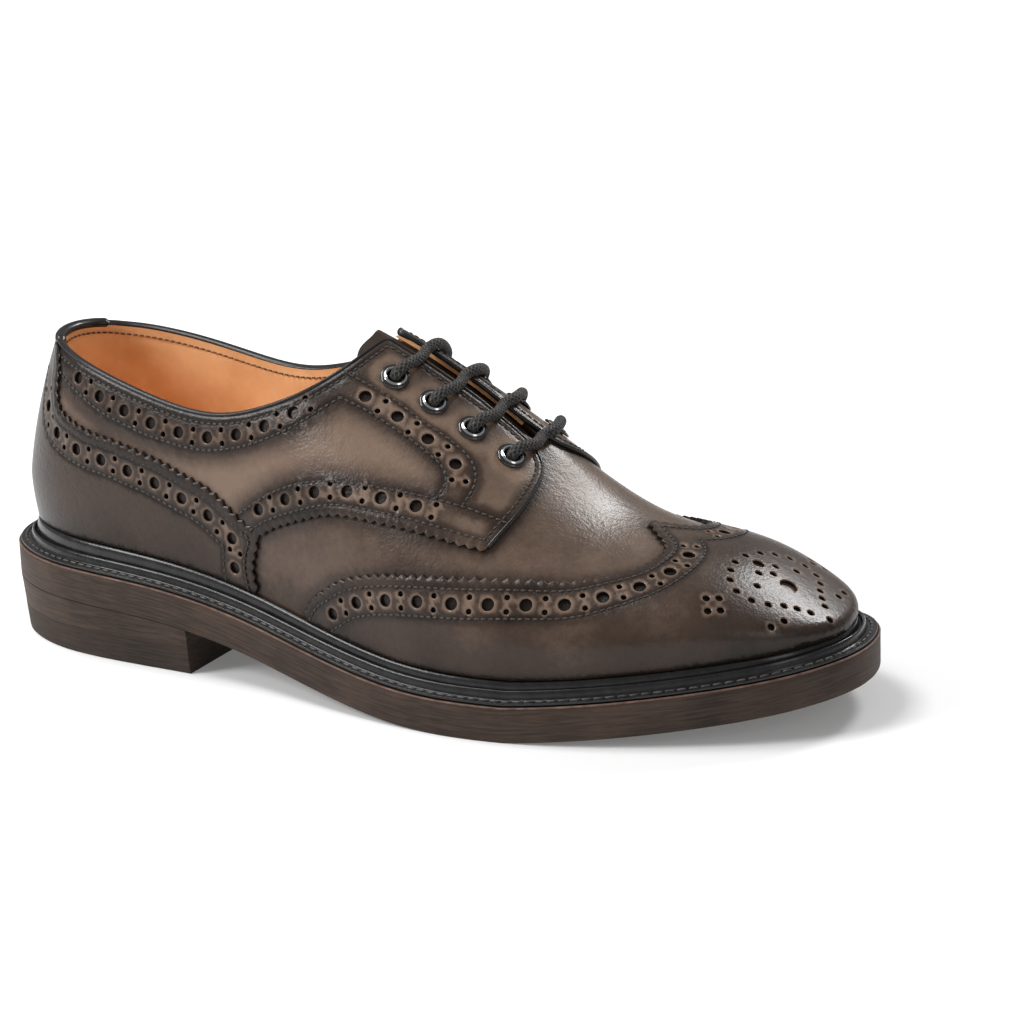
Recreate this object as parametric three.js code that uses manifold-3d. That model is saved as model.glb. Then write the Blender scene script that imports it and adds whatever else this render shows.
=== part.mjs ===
// Full brogue derby, one right shoe: a hollow leather upper under a wing cap, a counter
// with its backstay and two laced quarters, a tongue, an insole, and a storm welt over a
// midsole, an outsole and a stacked heel. Millimetres; +X runs from heel to toe, -Y is
// the outer side, +Z up.
import * as THREE from "three";
import { mergeVertices } from "three/addons/utils/BufferGeometryUtils.js";
import Module from "manifold-3d";

const wasm = await Module();
wasm.setup();

// Sizes of the bottom
const SOLE_LENGTH = 306;
const BALL_WIDTH = 115; // across the sole's edge, from its outer to its inner swell
const OUTSOLE_THICKNESS = 6.1;
const MIDSOLE_THICKNESS = 4.8;
const MIDSOLE_STEP = 0.5; // the midsole's edge stands in from the outsole's
const HEEL_RISE = 19.3; // the sole's underside over the floor at the back
const TOE_SPRING = 11.8; // the sole's underside over the floor at the toe
const HEEL_LENGTH = 88; // from the back to the breast
const TOP_PIECE_THICKNESS = 9.3;
const LOWER_LIFT_THICKNESS = 4.5;
const HEEL_TAPER = 1.6; // how far the heel's foot draws in below its seat

// Sizes of the upper
const INSTEP_HEIGHT = 103; // the ridge over the floor at half the sole's length
const BACK_HEIGHT = 103.5; // the topline over the floor at the back seam
const INNER_TOPLINE_RAISE = 3; // the topline is higher under the inner ankle
const WALL = 2.2; // vamp leather with its lining
const OVERLAY = 1.1; // a second layer of leather
const WELT_WIDTH = 9.2; // from the sole's edge in to the upper
const FEATHER_HEIGHT = 6.5; // where the upper turns in, over the midsole
const SWELL = 2; // how far the upper's side stands out from where it turns in
const SWELL_HEIGHT = 18;
const THROAT_GAP = 5.5; // between the two facings
const TONGUE_THICKNESS = 2;
const TONGUE_WIDTH = 50;
const TONGUE_TAPER = 0.35; // how much narrower it is at its foot
const INSOLE_THICKNESS = 4;
const INSOLE_MARGIN = 1.2; // from the upper's lining to the insole's edge
const CLEAR = 0.3; // between pieces that touch

// Sizes of the storm welt's section
const WELT_SETBACK = 0.9; // from the sole's edge
const WELT_THICKNESS = 1.3;
const RIB_HEIGHT = 4.2;
const GROOVE_HEIGHT = 3.1;
const BEAD_OVER_FEATHER = 1.7;

// Sizes of the fastening
const EYELET_PAIRS = 4;
const EYELET_FLANGE = 9.6; // outer diameter
const EYELET_BORE = 5.2;
const EYELET_BARREL_WALL = 0.4;
const EYELET_FLANGE_THICKNESS = 1.2;
const EYELET_ROUND = 0.8; // how far the flange's outer edge is rounded off
const EYELET_LIP = 0.5; // and its inner edge
const EYELET_FROM_EDGE = 11.6; // from the facing's edge to an eyelet's middle
const LACE_DIAMETER = 3.2;
const LACE_OVER_FACING = 0.9; // over the height at which it lies on the facing's leather
const LACE_OVER_EDGE = 0.4; // the same at the facing's edge
const LACE_OVER_THROAT = 0.6; // the same over the throat

// How finely the forms are drawn
const RIBS = 24; // stations along each side
const HEEL_STEPS = 10;
const EYELET_SIDES = 10;
const LACE_SIDES = 8;
const LACE_STEPS = 13;
const CUT_STEPS = 24; // halvings when a rib is cut at a height
const NUDGE = 1e-3; // the small step that measures a slope
const SAME_PLACE = 1e-3; // corners this near each other are one

const SOLE_THICKNESS = OUTSOLE_THICKNESS + CLEAR + MIDSOLE_THICKNESS;

// A table gives each row's numbers their column names.
function table(names, rows) {
  return rows.map((row) => Object.fromEntries(names.map((name, i) => [name, row[i]])));
}

// A smooth curve through a table's column: cubic pieces whose slopes are relaxed until
// the bend runs on from piece to piece. It stays level beyond its ends.
function curve(rows, at, value) {
  const x = rows.map((row) => row[at]);
  const y = rows.map((row) => row[value]);
  const last = x.length - 1;
  const step = x.slice(1).map((v, i) => v - x[i]);
  const rise = y.slice(1).map((v, i) => (v - y[i]) / step[i]);
  const slope = y.map((_, i) => rise[Math.min(i, last - 1)]);
  const PASSES = 40;
  for (let pass = 0; pass < PASSES; pass++) {
    slope[0] = (3 * rise[0] - slope[1]) / 2;
    for (let i = 1; i < last; i++) {
      const pull = 3 * (step[i] * rise[i - 1] + step[i - 1] * rise[i]);
      const rest = step[i] * slope[i - 1] + step[i - 1] * slope[i + 1];
      slope[i] = (pull - rest) / (2 * (step[i - 1] + step[i]));
    }
    slope[last] = (3 * rise[last - 1] - slope[last - 1]) / 2;
  }
  return (v) => {
    const at = Math.min(Math.max(v, x[0]), x[last]);
    let i = 0;
    while (i < last - 1 && at > x[i + 1]) i++;
    const t = (at - x[i]) / step[i];
    const start = y[i] * (1 + 2 * t) * (1 - t) ** 2 + slope[i] * step[i] * t * (1 - t) ** 2;
    const end = y[i + 1] * t * t * (3 - 2 * t) + slope[i + 1] * step[i] * t * t * (t - 1);
    return start + end;
  };
}

// The sole's edge: x as a share of its length, outer and inner reach as shares of the
// ball width, from the line through the heel's middle
const EDGE = table(["x", "outer", "inner"], [
  [0, 0.013, -0.013],
  [0.016, 0.17, 0.143],
  [0.05, 0.265, 0.235],
  [0.11, 0.343, 0.3],
  [0.19, 0.376, 0.32],
  [0.28, 0.388, 0.3],
  [0.37, 0.41, 0.278],
  [0.46, 0.461, 0.283],
  [0.55, 0.506, 0.335],
  [0.64, 0.523, 0.413],
  [0.73, 0.489, 0.47],
  [0.81, 0.417, 0.477],
  [0.88, 0.33, 0.433],
  [0.94, 0.23, 0.352],
  [0.98, 0.113, 0.248],
  [1, -0.057, 0.057],
]);

// The underside's height: the arch as a share of the heel's rise and the toe's turn as
// a share of the toe spring; between them the forefoot lies flat
const ARCH = table(["x", "rise"], [
  [0, 1],
  [0.15, 0.965],
  [0.27, 0.84],
  [0.39, 0.51],
  [0.5, 0.18],
  [0.57, 0.035],
  [0.62, 0],
]);
const TOE = table(["x", "rise"], [
  [0.69, 0],
  [0.735, 0.1],
  [0.85, 0.42],
  [0.93, 0.71],
  [1, 1],
]);

// The last's side along the sole: where each rib meets the ridge as a share of the
// length, the welt's width, the swell, its height and the feather's height as shares
const SIDE = table(["x", "ridge", "inset", "swell", "wide", "feather"], [
  [0, 0.17, 1.01, 0.75, 0.94, 1],
  [0.1, 0.19, 1, 0.95, 1, 0.98],
  [0.2, 0.245, 0.95, 0.8, 0.99, 0.95],
  [0.3, 0.315, 0.89, 0.5, 0.96, 0.91],
  [0.4, 0.4, 0.865, 0.35, 0.88, 0.84],
  [0.5, 0.5, 0.85, 0.3, 0.78, 0.77],
  [0.6, 0.6, 0.85, 0.45, 0.69, 0.74],
  [0.7, 0.7, 0.86, 0.6, 0.61, 0.72],
  [0.78, 0.772, 0.87, 0.65, 0.57, 0.71],
  [0.86, 0.825, 0.88, 0.65, 0.52, 0.7],
  [0.93, 0.86, 0.92, 0.6, 0.42, 0.65],
  [1, 0.885, 1.03, 0.5, 0.22, 0.54],
]);

// The last's ridge: its sideways place as a share of the ball width, its height as a
// share of the instep's, the two powers that round a rib over from side to ridge, and the
// slope with which the crown goes on rising past the ridge to the inner side
const RIDGE = table(["x", "side", "height", "round", "crown", "tilt"], [
  [0, -0.026, 1.35, 1.6, 1.2, 0],
  [0.2, -0.026, 1.32, 1.9, 1.3, 0],
  [0.35, -0.023, 1.212, 2.15, 1.7, 0.1],
  [0.43, -0.019, 1.12, 2.15, 1.88, 0.3],
  [0.5, -0.01, 1.025, 2, 1.8, 0.4],
  [0.58, 0.005, 0.883, 1.95, 1.78, 0.4],
  [0.66, 0.021, 0.715, 1.92, 1.75, 0.22],
  [0.74, 0.038, 0.547, 2, 1.87, 0.03],
  [0.8, 0.05, 0.488, 2.15, 2, 0],
  [0.86, 0.058, 0.45, 2.3, 2.1, 0],
  [0.92, 0.063, 0.379, 2.35, 2.1, 0],
  [1, 0.068, 0.291, 2.4, 2.1, 0],
]);

// The topline's height as a share of the back's, and half the throat's gap as a share
const TOPLINE = table(["x", "height"], [
  [0.04, 1],
  [0.098, 0.966],
  [0.163, 0.918],
  [0.245, 0.857],
  [0.327, 0.834],
  [0.392, 0.884],
  [0.441, 0.952],
  [0.477, 1.053],
  [0.52, 1.3],
]);
const THROAT = table(["x", "gap"], [
  [0.4, 1],
  [0.56, 1],
  [0.6, 0.92],
  [0.63, 0.6],
  [0.648, 0],
]);

// Panel edges, up a rib from the feather (0) over the swell (0.2) to the ridge (1)
const COUNTER_TOP = table(["x", "up"], [
  [0.064, 0.62],
  [0.068, 0.545],
  [0.075, 0.49],
  [0.086, 0.455],
  [0.111, 0.431],
  [0.149, 0.409],
  [0.184, 0.397],
  [0.256, 0.36],
  [0.309, 0.324],
  [0.338, 0.297],
  [0.37, 0.247],
]);
const FACING_FOOT = table(["x", "up"], [
  [0.37, 0.247],
  [0.388, 0.28],
  [0.41, 0.314],
  [0.433, 0.346],
  [0.475, 0.406],
  [0.515, 0.443],
  [0.592, 0.498],
  [0.628, 0.521],
  [0.651, 0.54],
  [0.661, 0.64],
  [0.666, 0.75],
]);
const FACING_FRONT = table(["x", "up"], [
  [0.6, 1],
  [0.625, 0.972],
  [0.645, 0.94],
  [0.658, 0.9],
  [0.664, 0.83],
  [0.666, 0.75],
]);
const WING_TOP = table(["x", "up"], [
  [0.434, 0.042],
  [0.444, 0.112],
  [0.462, 0.191],
  [0.483, 0.245],
  [0.51, 0.29],
  [0.563, 0.349],
  [0.611, 0.394],
  [0.658, 0.444],
  [0.697, 0.492],
  [0.738, 0.545],
  [0.775, 0.633],
  [0.8, 0.714],
  [0.812, 0.83],
]);
const WING_PEAK = table(["x", "up"], [
  [0.765, 1],
  [0.775, 0.968],
  [0.797, 0.929],
  [0.811, 0.882],
  [0.812, 0.83],
]);
// Half a bar of the lace: millimetres from the eyelet's middle towards the ridge, and
// over the height at which it lies on the flange
const LACE_RISE = table(["out", "over"], [
  [0, -4],
  [0, -2.6],
  [0.4, -1.1],
  [1.6, -0.1],
  [3.4, 0.2],
]);
const WING_BACK = 0.434; // where the wings end, as shares of the length
const WING_NOTCH = 0.812;
const WING_TIP = 0.765;
const COUNTER_FRONT = 0.37;
const BACKSTAY_EDGE = 0.063; // where the backstay rises out of the counter's top
const FACING_TURN = 0.651;
const FACING_END = 0.666;
const RAISE_FROM = 0.1; // where the inner topline's raise starts and ends
const RAISE_TO = 0.45;
const TONGUE_TOP = 0.455;
const TONGUE_FOOT = 0.668;
const EYELET_FIRST = 0.503; // the top pair's place along the ridge, and the lowest pair's
const EYELET_LAST = 0.631;

// The sole's edge as one smooth loop of an angle that runs from 0 at the heel over pi at
// the toe and back, so that both ends are round
const angleAt = (x) => Math.acos(1 - 2 * x);
const shareAt = (angle) => (1 - Math.cos(angle)) / 2;
const loopRows = [];
for (const turn of [-1, 0, 1]) {
  for (const row of EDGE) loopRows.push([turn * 2 * Math.PI + angleAt(row.x), -row.outer]);
  const inner = EDGE.slice(1, -1).reverse();
  for (const row of inner) loopRows.push([(turn + 1) * 2 * Math.PI - angleAt(row.x), row.inner]);
}
const edgeSide = curve(table(["angle", "side"], loopRows), "angle", "side");

const archAt = curve(ARCH, "x", "rise");
const toeAt = curve(TOE, "x", "rise");
const sideCurve = Object.fromEntries(
  ["ridge", "inset", "swell", "wide", "feather"].map((name) => [name, curve(SIDE, "x", name)]),
);
const ridgeCurve = Object.fromEntries(
  ["side", "height", "round", "crown", "tilt"].map((name) => [name, curve(RIDGE, "x", name)]),
);
const toplineAt = curve(TOPLINE, "x", "height");
const throatAt = curve(THROAT, "x", "gap");

// Heights over the floor at a distance x from the heel
function underside(x) {
  const share = x / SOLE_LENGTH;
  if (share < ARCH.at(-1).x) return Math.max(0, HEEL_RISE * archAt(share));
  return share > TOE[0].x ? Math.max(0, TOE_SPRING * toeAt(share)) : 0;
}
const seatTop = (x) => underside(x) + SOLE_THICKNESS;

// A point on the sole's edge and its outward direction
function edgePoint(angle) {
  const place = (a) => new THREE.Vector2(shareAt(a) * SOLE_LENGTH, edgeSide(a) * BALL_WIDTH);
  const along = place(angle + NUDGE).sub(place(angle - NUDGE)).normalize();
  return { point: place(angle), out: new THREE.Vector2(along.y, -along.x) };
}

// The edge drawn in by a distance
function inset(angle, distance) {
  const { point, out } = edgePoint(angle);
  return point.addScaledVector(out, -distance);
}

// A rib of the last at an angle: its foot, its widest place and its place on the ridge
function rib(angle) {
  const share = shareAt(angle);
  const foot = inset(angle, sideCurve.inset(share) * WELT_WIDTH);
  const wide = foot.clone().addScaledVector(edgePoint(angle).out, sideCurve.swell(share) * SWELL);
  const ridgeShare = sideCurve.ridge(share);
  const top = new THREE.Vector2(
    ridgeShare * SOLE_LENGTH,
    ridgeCurve.side(ridgeShare) * BALL_WIDTH,
  );
  const floor = seatTop(foot.x);
  const footHeight = floor + sideCurve.feather(share) * FEATHER_HEIGHT;
  return {
    foot,
    wide,
    top,
    floor,
    footHeight,
    wideHeight: footHeight + sideCurve.wide(share) * SWELL_HEIGHT,
    round: ridgeCurve.round(ridgeShare),
    crown: ridgeCurve.crown(ridgeShare),
    tilt: ridgeCurve.tilt(ridgeShare) * (edgeSide(angle) > 0 ? 1 : -1),
  };
}

const SWELL_AT = 0.2; // how far up a rib its widest place lies
const FOOT_AT = -0.1; // where the rib's straight foot stands on the midsole

// A point of the last's surface, up a rib: straight below the feather, a quarter wave out
// to the swell, then a superellipse that closes on the ridge
function lastPoint(angle, up) {
  const r = rib(angle);
  if (up <= 0) {
    const height = r.footHeight + (r.floor + CLEAR - r.footHeight) * (up / FOOT_AT);
    return new THREE.Vector3(r.foot.x, r.foot.y, height);
  }
  if (up < SWELL_AT) {
    const t = up / SWELL_AT;
    const plan = r.foot.clone().lerp(r.wide, Math.sin((t * Math.PI) / 2));
    return new THREE.Vector3(plan.x, plan.y, r.footHeight + (r.wideHeight - r.footHeight) * t);
  }
  const t = (Math.min((up - SWELL_AT) / (1 - SWELL_AT), 1) * Math.PI) / 2;
  const reach = Math.max(Math.cos(t), 0) ** (2 / r.round);
  const lift = Math.sin(t) ** (2 / r.crown);
  const plan = r.top.clone().lerp(r.wide, reach);
  const crest = ridgeCurve.height(plan.x / SOLE_LENGTH) * INSTEP_HEIGHT;
  const lean = r.tilt * r.top.distanceTo(r.wide) * reach * (1 - reach) ** 2;
  return new THREE.Vector3(plan.x, plan.y, r.wideHeight + (crest - r.wideHeight) * lift + lean);
}

// The outward direction of the surface
function lastNormal(angle, up) {
  const low = Math.max(up - NUDGE, FOOT_AT);
  const high = Math.min(up + NUDGE, 1);
  const climb = lastPoint(angle, high).sub(lastPoint(angle, low));
  const along = lastPoint(angle + NUDGE, up).sub(lastPoint(angle - NUDGE, up));
  return along.cross(climb).normalize();
}

// The share up a rib after a step in millimetres along it
function upBy(angle, up, distance) {
  const span = lastPoint(angle, up + NUDGE).distanceTo(lastPoint(angle, up - NUDGE));
  return up + (distance * 2 * NUDGE) / span;
}

// Where the topline or the throat cuts a rib; 1 where the rib runs on to the ridge
function cutAt(angle) {
  const share = shareAt(angle);
  const inner = angle > Math.PI;
  const topline = (x) => {
    const s = x / SOLE_LENGTH;
    const along = (s - RAISE_FROM) / (RAISE_TO - RAISE_FROM);
    const swing = Math.sin(Math.PI * Math.min(Math.max(along, 0), 1));
    return toplineAt(s) * BACK_HEIGHT + (inner ? INNER_TOPLINE_RAISE * swing : 0);
  };
  let low = SWELL_AT;
  let high = 1;
  const top = lastPoint(angle, 1);
  if (top.z > topline(top.x)) {
    for (let i = 0; i < CUT_STEPS; i++) {
      const middle = (low + high) / 2;
      const point = lastPoint(angle, middle);
      if (point.z > topline(point.x)) high = middle;
      else low = middle;
    }
  }
  const ridgeShare = sideCurve.ridge(share);
  if (ridgeShare >= THROAT.at(-1).x) return high;
  const gap = throatAt(ridgeShare) * THROAT_GAP;
  return Math.min(high, upAtReach(angle, Math.max(gap, 0) / 2));
}

// Closed solids

// A geometry from corners and triangles, with coincident corners merged and slivers gone
function closed(corners, faces) {
  const flat = faces.flatMap((face) => face.flatMap((i) => corners[i].toArray()));
  const loose = new THREE.BufferGeometry();
  loose.setAttribute("position", new THREE.Float32BufferAttribute(flat, 3));
  const merged = mergeVertices(loose, SAME_PLACE);
  const index = [];
  const from = merged.index.array;
  for (let i = 0; i < from.length; i += 3) {
    const [a, b, c] = [from[i], from[i + 1], from[i + 2]];
    if (a !== b && b !== c && c !== a) index.push(a, b, c);
  }
  merged.setIndex(index);
  merged.computeVertexNormals();
  return merged;
}

const solidOf = (geometry) => {
  const bare = geometry.clone();
  bare.deleteAttribute("normal");
  bare.deleteAttribute("uv");
  const merged = mergeVertices(bare, SAME_PLACE);
  return new wasm.Manifold(new wasm.Mesh({
    numProp: 3,
    vertProperties: merged.attributes.position.array,
    triVerts: new Uint32Array(merged.index.array),
  }));
};

const geometryOf = (solid) => {
  const mesh = solid.getMesh();
  const geometry = new THREE.BufferGeometry();
  geometry.setAttribute("position", new THREE.BufferAttribute(mesh.vertProperties, 3));
  geometry.setIndex(new THREE.BufferAttribute(mesh.triVerts, 1));
  geometry.computeVertexNormals();
  return geometry;
};

// A sheet of leather on the last: bands of cells between two curves up the ribs, given
// two faces at their distances from the surface and a wall round every open edge
function sheet(bands, inner, outer) {
  const keys = new Map();
  const corners = [];
  const cornerAt = ([angle, up]) => {
    const point = lastPoint(angle, up);
    const key = point.toArray().map((v) => Math.round(v * 100)).join(" ");
    if (!keys.has(key)) {
      keys.set(key, corners.length);
      corners.push({ point, normal: new THREE.Vector3() });
    }
    const at = keys.get(key);
    corners[at].normal.add(lastNormal(angle, up));
    return at;
  };
  const faces = [];
  for (const { stations, levels, low, high, upAt } of bands) {
    const between = (angle, t) => low(angle) + (high(angle) - low(angle)) * t;
    const columns = stations.map((angle) =>
      levels.map((t) => cornerAt([angle, (upAt ?? between)(angle, t)])));
    for (let i = 0; i + 1 < columns.length; i++) {
      for (let j = 0; j + 1 < levels.length; j++) {
        const [a, b] = [columns[i][j], columns[i + 1][j]];
        const [c, d] = [columns[i + 1][j + 1], columns[i][j + 1]];
        for (const face of [[a, b, c], [a, c, d]]) {
          if (new Set(face).size === 3) faces.push(face);
        }
      }
    }
  }
  const open = new Map();
  for (const face of faces) {
    face.forEach((a, i) => {
      const b = face[(i + 1) % 3];
      if (!open.delete(`${b} ${a}`)) open.set(`${a} ${b}`, [a, b]);
    });
  }
  const lift = (distance) => ({ point, normal }) =>
    point.clone().addScaledVector(normal.clone().normalize(), distance);
  const count = corners.length;
  const solid = faces.map((face) => [...face]);
  for (const [a, b, c] of faces) solid.push([a + count, c + count, b + count]);
  for (const [a, b] of open.values()) {
    solid.push([b, a, a + count], [b, a + count, b + count]);
  }
  return closed([...corners.map(lift(outer)), ...corners.map(lift(inner))], solid);
}

// A flat layer of the bottom from the heel, or from one place on its length, to another
function layer(angles, insetAt, low, high) {
  const corners = [];
  for (const height of [low, high]) {
    for (const side of [1, -1]) {
      for (const angle of angles) {
        const p = inset(side * angle, insetAt(height === high, angle));
        corners.push(new THREE.Vector3(p.x, p.y, height(p.x)));
      }
    }
  }
  const n = angles.length;
  const faces = [];
  const quad = (a, b, c, d) => faces.push([a, b, c], [a, c, d]);
  const [outerLow, innerLow, outerHigh, innerHigh] = [0, n, 2 * n, 3 * n];
  for (let i = 0; i + 1 < n; i++) {
    quad(outerLow + i, innerLow + i, innerLow + i + 1, outerLow + i + 1);
    quad(outerHigh + i, outerHigh + i + 1, innerHigh + i + 1, innerHigh + i);
    quad(outerLow + i, outerLow + i + 1, outerHigh + i + 1, outerHigh + i);
    quad(innerLow + i + 1, innerLow + i, innerHigh + i, innerHigh + i + 1);
  }
  for (const [i, turn] of [[0, true], [n - 1, false]]) {
    const ring = [outerLow + i, innerLow + i, innerHigh + i, outerHigh + i];
    quad(...(turn ? [ring[0], ring[3], ring[2], ring[1]] : ring));
  }
  return closed(corners, faces);
}

const spread = (from, to, count) =>
  Array.from({ length: count + 1 }, (_, i) => from + ((to - from) * i) / count);
const stationsBetween = (fromShare, toShare) => {
  const [from, to] = [angleAt(fromShare), angleAt(toShare)];
  return spread(from, to, Math.max(2, Math.round(((to - from) / Math.PI) * RIBS)));
};
const mirrored = (angles) => angles.map((angle) => 2 * Math.PI - angle).reverse();

// The bottom

function makeOutsole() {
  return layer(spread(0, Math.PI, RIBS), () => 0, underside, (x) => underside(x) + OUTSOLE_THICKNESS);
}

function makeMidsole() {
  const low = (x) => seatTop(x) - MIDSOLE_THICKNESS;
  return layer(spread(0, Math.PI, RIBS), () => MIDSOLE_STEP, low, seatTop);
}

const HEEL_ANGLES = spread(0, angleAt(HEEL_LENGTH / SOLE_LENGTH), HEEL_STEPS);

// One lift of the heel between two heights, drawn in towards the floor
function makeLift(low, high) {
  const taper = (height) => HEEL_TAPER * (1 - height / HEEL_RISE);
  const insetAt = (top) => taper(top ? high(0) : low(0));
  return layer(HEEL_ANGLES, insetAt, low, high);
}

const topPieceTop = () => TOP_PIECE_THICKNESS;
const lowerLiftFoot = () => TOP_PIECE_THICKNESS + CLEAR;
const lowerLiftTop = () => TOP_PIECE_THICKNESS + CLEAR + LOWER_LIFT_THICKNESS;
const upperLiftFoot = () => TOP_PIECE_THICKNESS + 2 * CLEAR + LOWER_LIFT_THICKNESS;
const upperLiftTop = (x) => underside(x) - CLEAR;

function makeInsole() {
  const margin = (_, angle) =>
    sideCurve.inset(shareAt(angle)) * WELT_WIDTH + WALL + INSOLE_MARGIN;
  const low = (x) => seatTop(x) + CLEAR;
  const high = (x) => seatTop(x) + CLEAR + INSOLE_THICKNESS;
  return layer(spread(0, Math.PI, RIBS), margin, low, high);
}

// The storm welt's section, from its outer edge across to the upper and back: across as a
// share of the room there, and how much of its height comes from the bead and how much
// is fixed
const WELT_SECTION = table(["across", "bead", "fixed"], [
  [0, 0, CLEAR],
  [0, 0, WELT_THICKNESS],
  [0.4, 0, WELT_THICKNESS],
  [0.48, 0, RIB_HEIGHT - 0.5],
  [0.58, 0, RIB_HEIGHT],
  [0.69, 0, GROOVE_HEIGHT],
  [0.77, 1, -1.6],
  [0.88, 1, 0],
  [1, 1, -0.4],
  [1, 0, CLEAR],
]);

function makeWelt() {
  const stations = spread(0, 2 * Math.PI, 2 * RIBS).slice(0, -1);
  const size = WELT_SECTION.length;
  const corners = [];
  for (const angle of stations) {
    const share = shareAt(angle);
    const toUpper = sideCurve.inset(share) * WELT_WIDTH - CLEAR;
    const beadRise = BEAD_OVER_FEATHER / (sideCurve.wide(share) * SWELL_HEIGHT);
    const bulge = Math.sin((beadRise * Math.PI) / 2) * sideCurve.swell(share) * SWELL;
    const room = toUpper - bulge - WELT_SETBACK;
    const beadTop = sideCurve.feather(share) * FEATHER_HEIGHT + BEAD_OVER_FEATHER;
    for (const { across, bead, fixed } of WELT_SECTION) {
      const p = inset(angle, WELT_SETBACK + across * room);
      corners.push(new THREE.Vector3(p.x, p.y, seatTop(p.x) + bead * beadTop + fixed));
    }
  }
  const faces = [];
  const n = stations.length;
  for (let i = 0; i < n; i++) {
    for (let j = 0; j < size; j++) {
      const [a, b] = [i * size + j, i * size + ((j + 1) % size)];
      const next = ((i + 1) % n) * size;
      const [c, d] = [next + ((j + 1) % size), next + j];
      faces.push([a, d, c], [a, c, b]);
    }
  }
  return closed(corners, faces);
}

// The upper and what is sewn on it

const LEVELS = [FOOT_AT, 0, 0.1, SWELL_AT, 0.33, 0.47, 0.61, 0.75, 0.88, 1];
const CUTTER_DEPTH = 4; // how far a cutting form reaches past the leather on each side
const LOOP = spread(0, 2 * Math.PI, 2 * RIBS);
const CLOSED_FROM = 0.4; // ahead of this share of the length the ribs run to the ridge
const RIM_PAST = 0.2; // how far up a rib the cutting forms pass the topline behind it

// Behind the throat a form ends a little past the topline
const rimAt = (angle, past) =>
  (shareAt(angle) > CLOSED_FROM - past / 4 ? 1 : Math.min(cutAt(angle) + past, 1));

// Offcuts fall away: the largest body is the piece
const piece = (solid) =>
  geometryOf(solid.decompose().reduce((a, b) => (a.volume() > b.volume() ? a : b)));

// The last's whole form between two distances from its surface, before any opening. All
// pieces of the upper are cut from such forms, so that their facets lie parallel.
function form(inner, outer) {
  const upAt = (angle, t) => Math.min(t, rimAt(angle, RIM_PAST / 2));
  const band = { stations: LOOP, levels: LEVELS, upAt };
  return solidOf(sheet([band], inner, outer));
}

// A cutting form: bands on the last, deep enough to pass through the leather
const cutter = (bands) =>
  solidOf(sheet(bands, -WALL - CUTTER_DEPTH, OVERLAY + CUTTER_DEPTH));

const OPENING = cutter([{
  stations: spread(0, 2 * Math.PI, 4 * RIBS),
  low: cutAt,
  high: (angle) => rimAt(angle, RIM_PAST),
  levels: spread(0, 1, 4),
}]);

const edgeUp = (rows) => {
  const at = curve(rows, "x", "up");
  return (angle) => at(shareAt(Math.abs(angle)));
};
const counterTop = edgeUp(COUNTER_TOP);
const facingFoot = edgeUp(FACING_FOOT);
const facingFront = edgeUp(FACING_FRONT);
const wingTop = edgeUp(WING_TOP);
const wingPeak = edgeUp(WING_PEAK);

// An overlay starts just over the welt's bead
function overlayFoot(angle) {
  const share = shareAt(angle);
  const over = BEAD_OVER_FEATHER + 2 * CLEAR;
  return (SWELL_AT * over) / (sideCurve.wide(share) * SWELL_HEIGHT);
}

const OVERLAY_OUTER = CLEAR + OVERLAY;
const SECOND_LAYER = form(CLEAR, OVERLAY_OUTER).subtract(OPENING);

// The place up a rib at a plan distance from the ridge
function upAtReach(angle, distance) {
  const r = rib(angle);
  const reach = Math.min(distance / r.top.distanceTo(r.wide), 1);
  const turn = Math.acos(reach ** (r.round / 2));
  return SWELL_AT + ((1 - SWELL_AT) * turn) / (Math.PI / 2);
}

const PANEL_LEVELS = spread(0, 1, 5);
const panel = (bands) => SECOND_LAYER.intersect(cutter(bands));

// Both wings, the toe between them and the peak that runs up the ridge
function makeWingCap() {
  const outerSide = [
    ...stationsBetween(WING_BACK, WING_TIP),
    ...stationsBetween(WING_TIP, WING_NOTCH).slice(1),
    ...stationsBetween(WING_NOTCH, 1).slice(1),
  ];
  const isToe = (angle) => shareAt(angle) > WING_NOTCH - NUDGE;
  const top = (angle) => (isToe(angle) ? WING_TOP.at(-1).up : wingTop(angle));
  const loop = [...outerSide, ...mirrored(outerSide).slice(1)];
  const peakSide = outerSide.filter((angle) => shareAt(angle) > WING_TIP - NUDGE / 2);
  const peakLow = (angle) => (isToe(angle) ? WING_PEAK.at(-1).up : wingPeak(angle));
  const peakLoop = [...peakSide, ...mirrored(peakSide).slice(1)];
  return piece(panel([
    { stations: loop, low: overlayFoot, high: top, levels: PANEL_LEVELS },
    { stations: peakLoop, low: peakLow, high: () => 1, levels: spread(0, 1, 2) },
  ]));
}

const aroundHeel = (side) =>
  [...side.slice(1).reverse().map((angle) => -angle), ...side];

// The counter goes round the heel and rises at the back as the backstay, over the topline.
// With room around it, it is the form that the quarters make way for.
function counterForm(room) {
  const turn = room / (HEEL_LENGTH / 2);
  const side = [
    ...spread(0, angleAt(BACKSTAY_EDGE) + turn, 3),
    ...spread(angleAt(COUNTER_TOP[0].x) + turn, angleAt(COUNTER_TOP[3].x), 3),
    ...stationsBetween(COUNTER_TOP[3].x, COUNTER_FRONT).slice(1),
  ];
  if (room > 0) side.push(side.at(-1) + (2 * room) / SOLE_LENGTH);
  const high = (angle) => {
    const off = Math.abs(angle);
    if (off < angleAt(BACKSTAY_EDGE) + turn + NUDGE) return rimAt(off, RIM_PAST);
    return upBy(off, counterTop(Math.max(off - turn, 0)), room);
  };
  return cutter([{ stations: aroundHeel(side), low: overlayFoot, high, levels: PANEL_LEVELS }]);
}

function makeCounter() {
  return piece(SECOND_LAYER.intersect(counterForm(0)));
}

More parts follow.
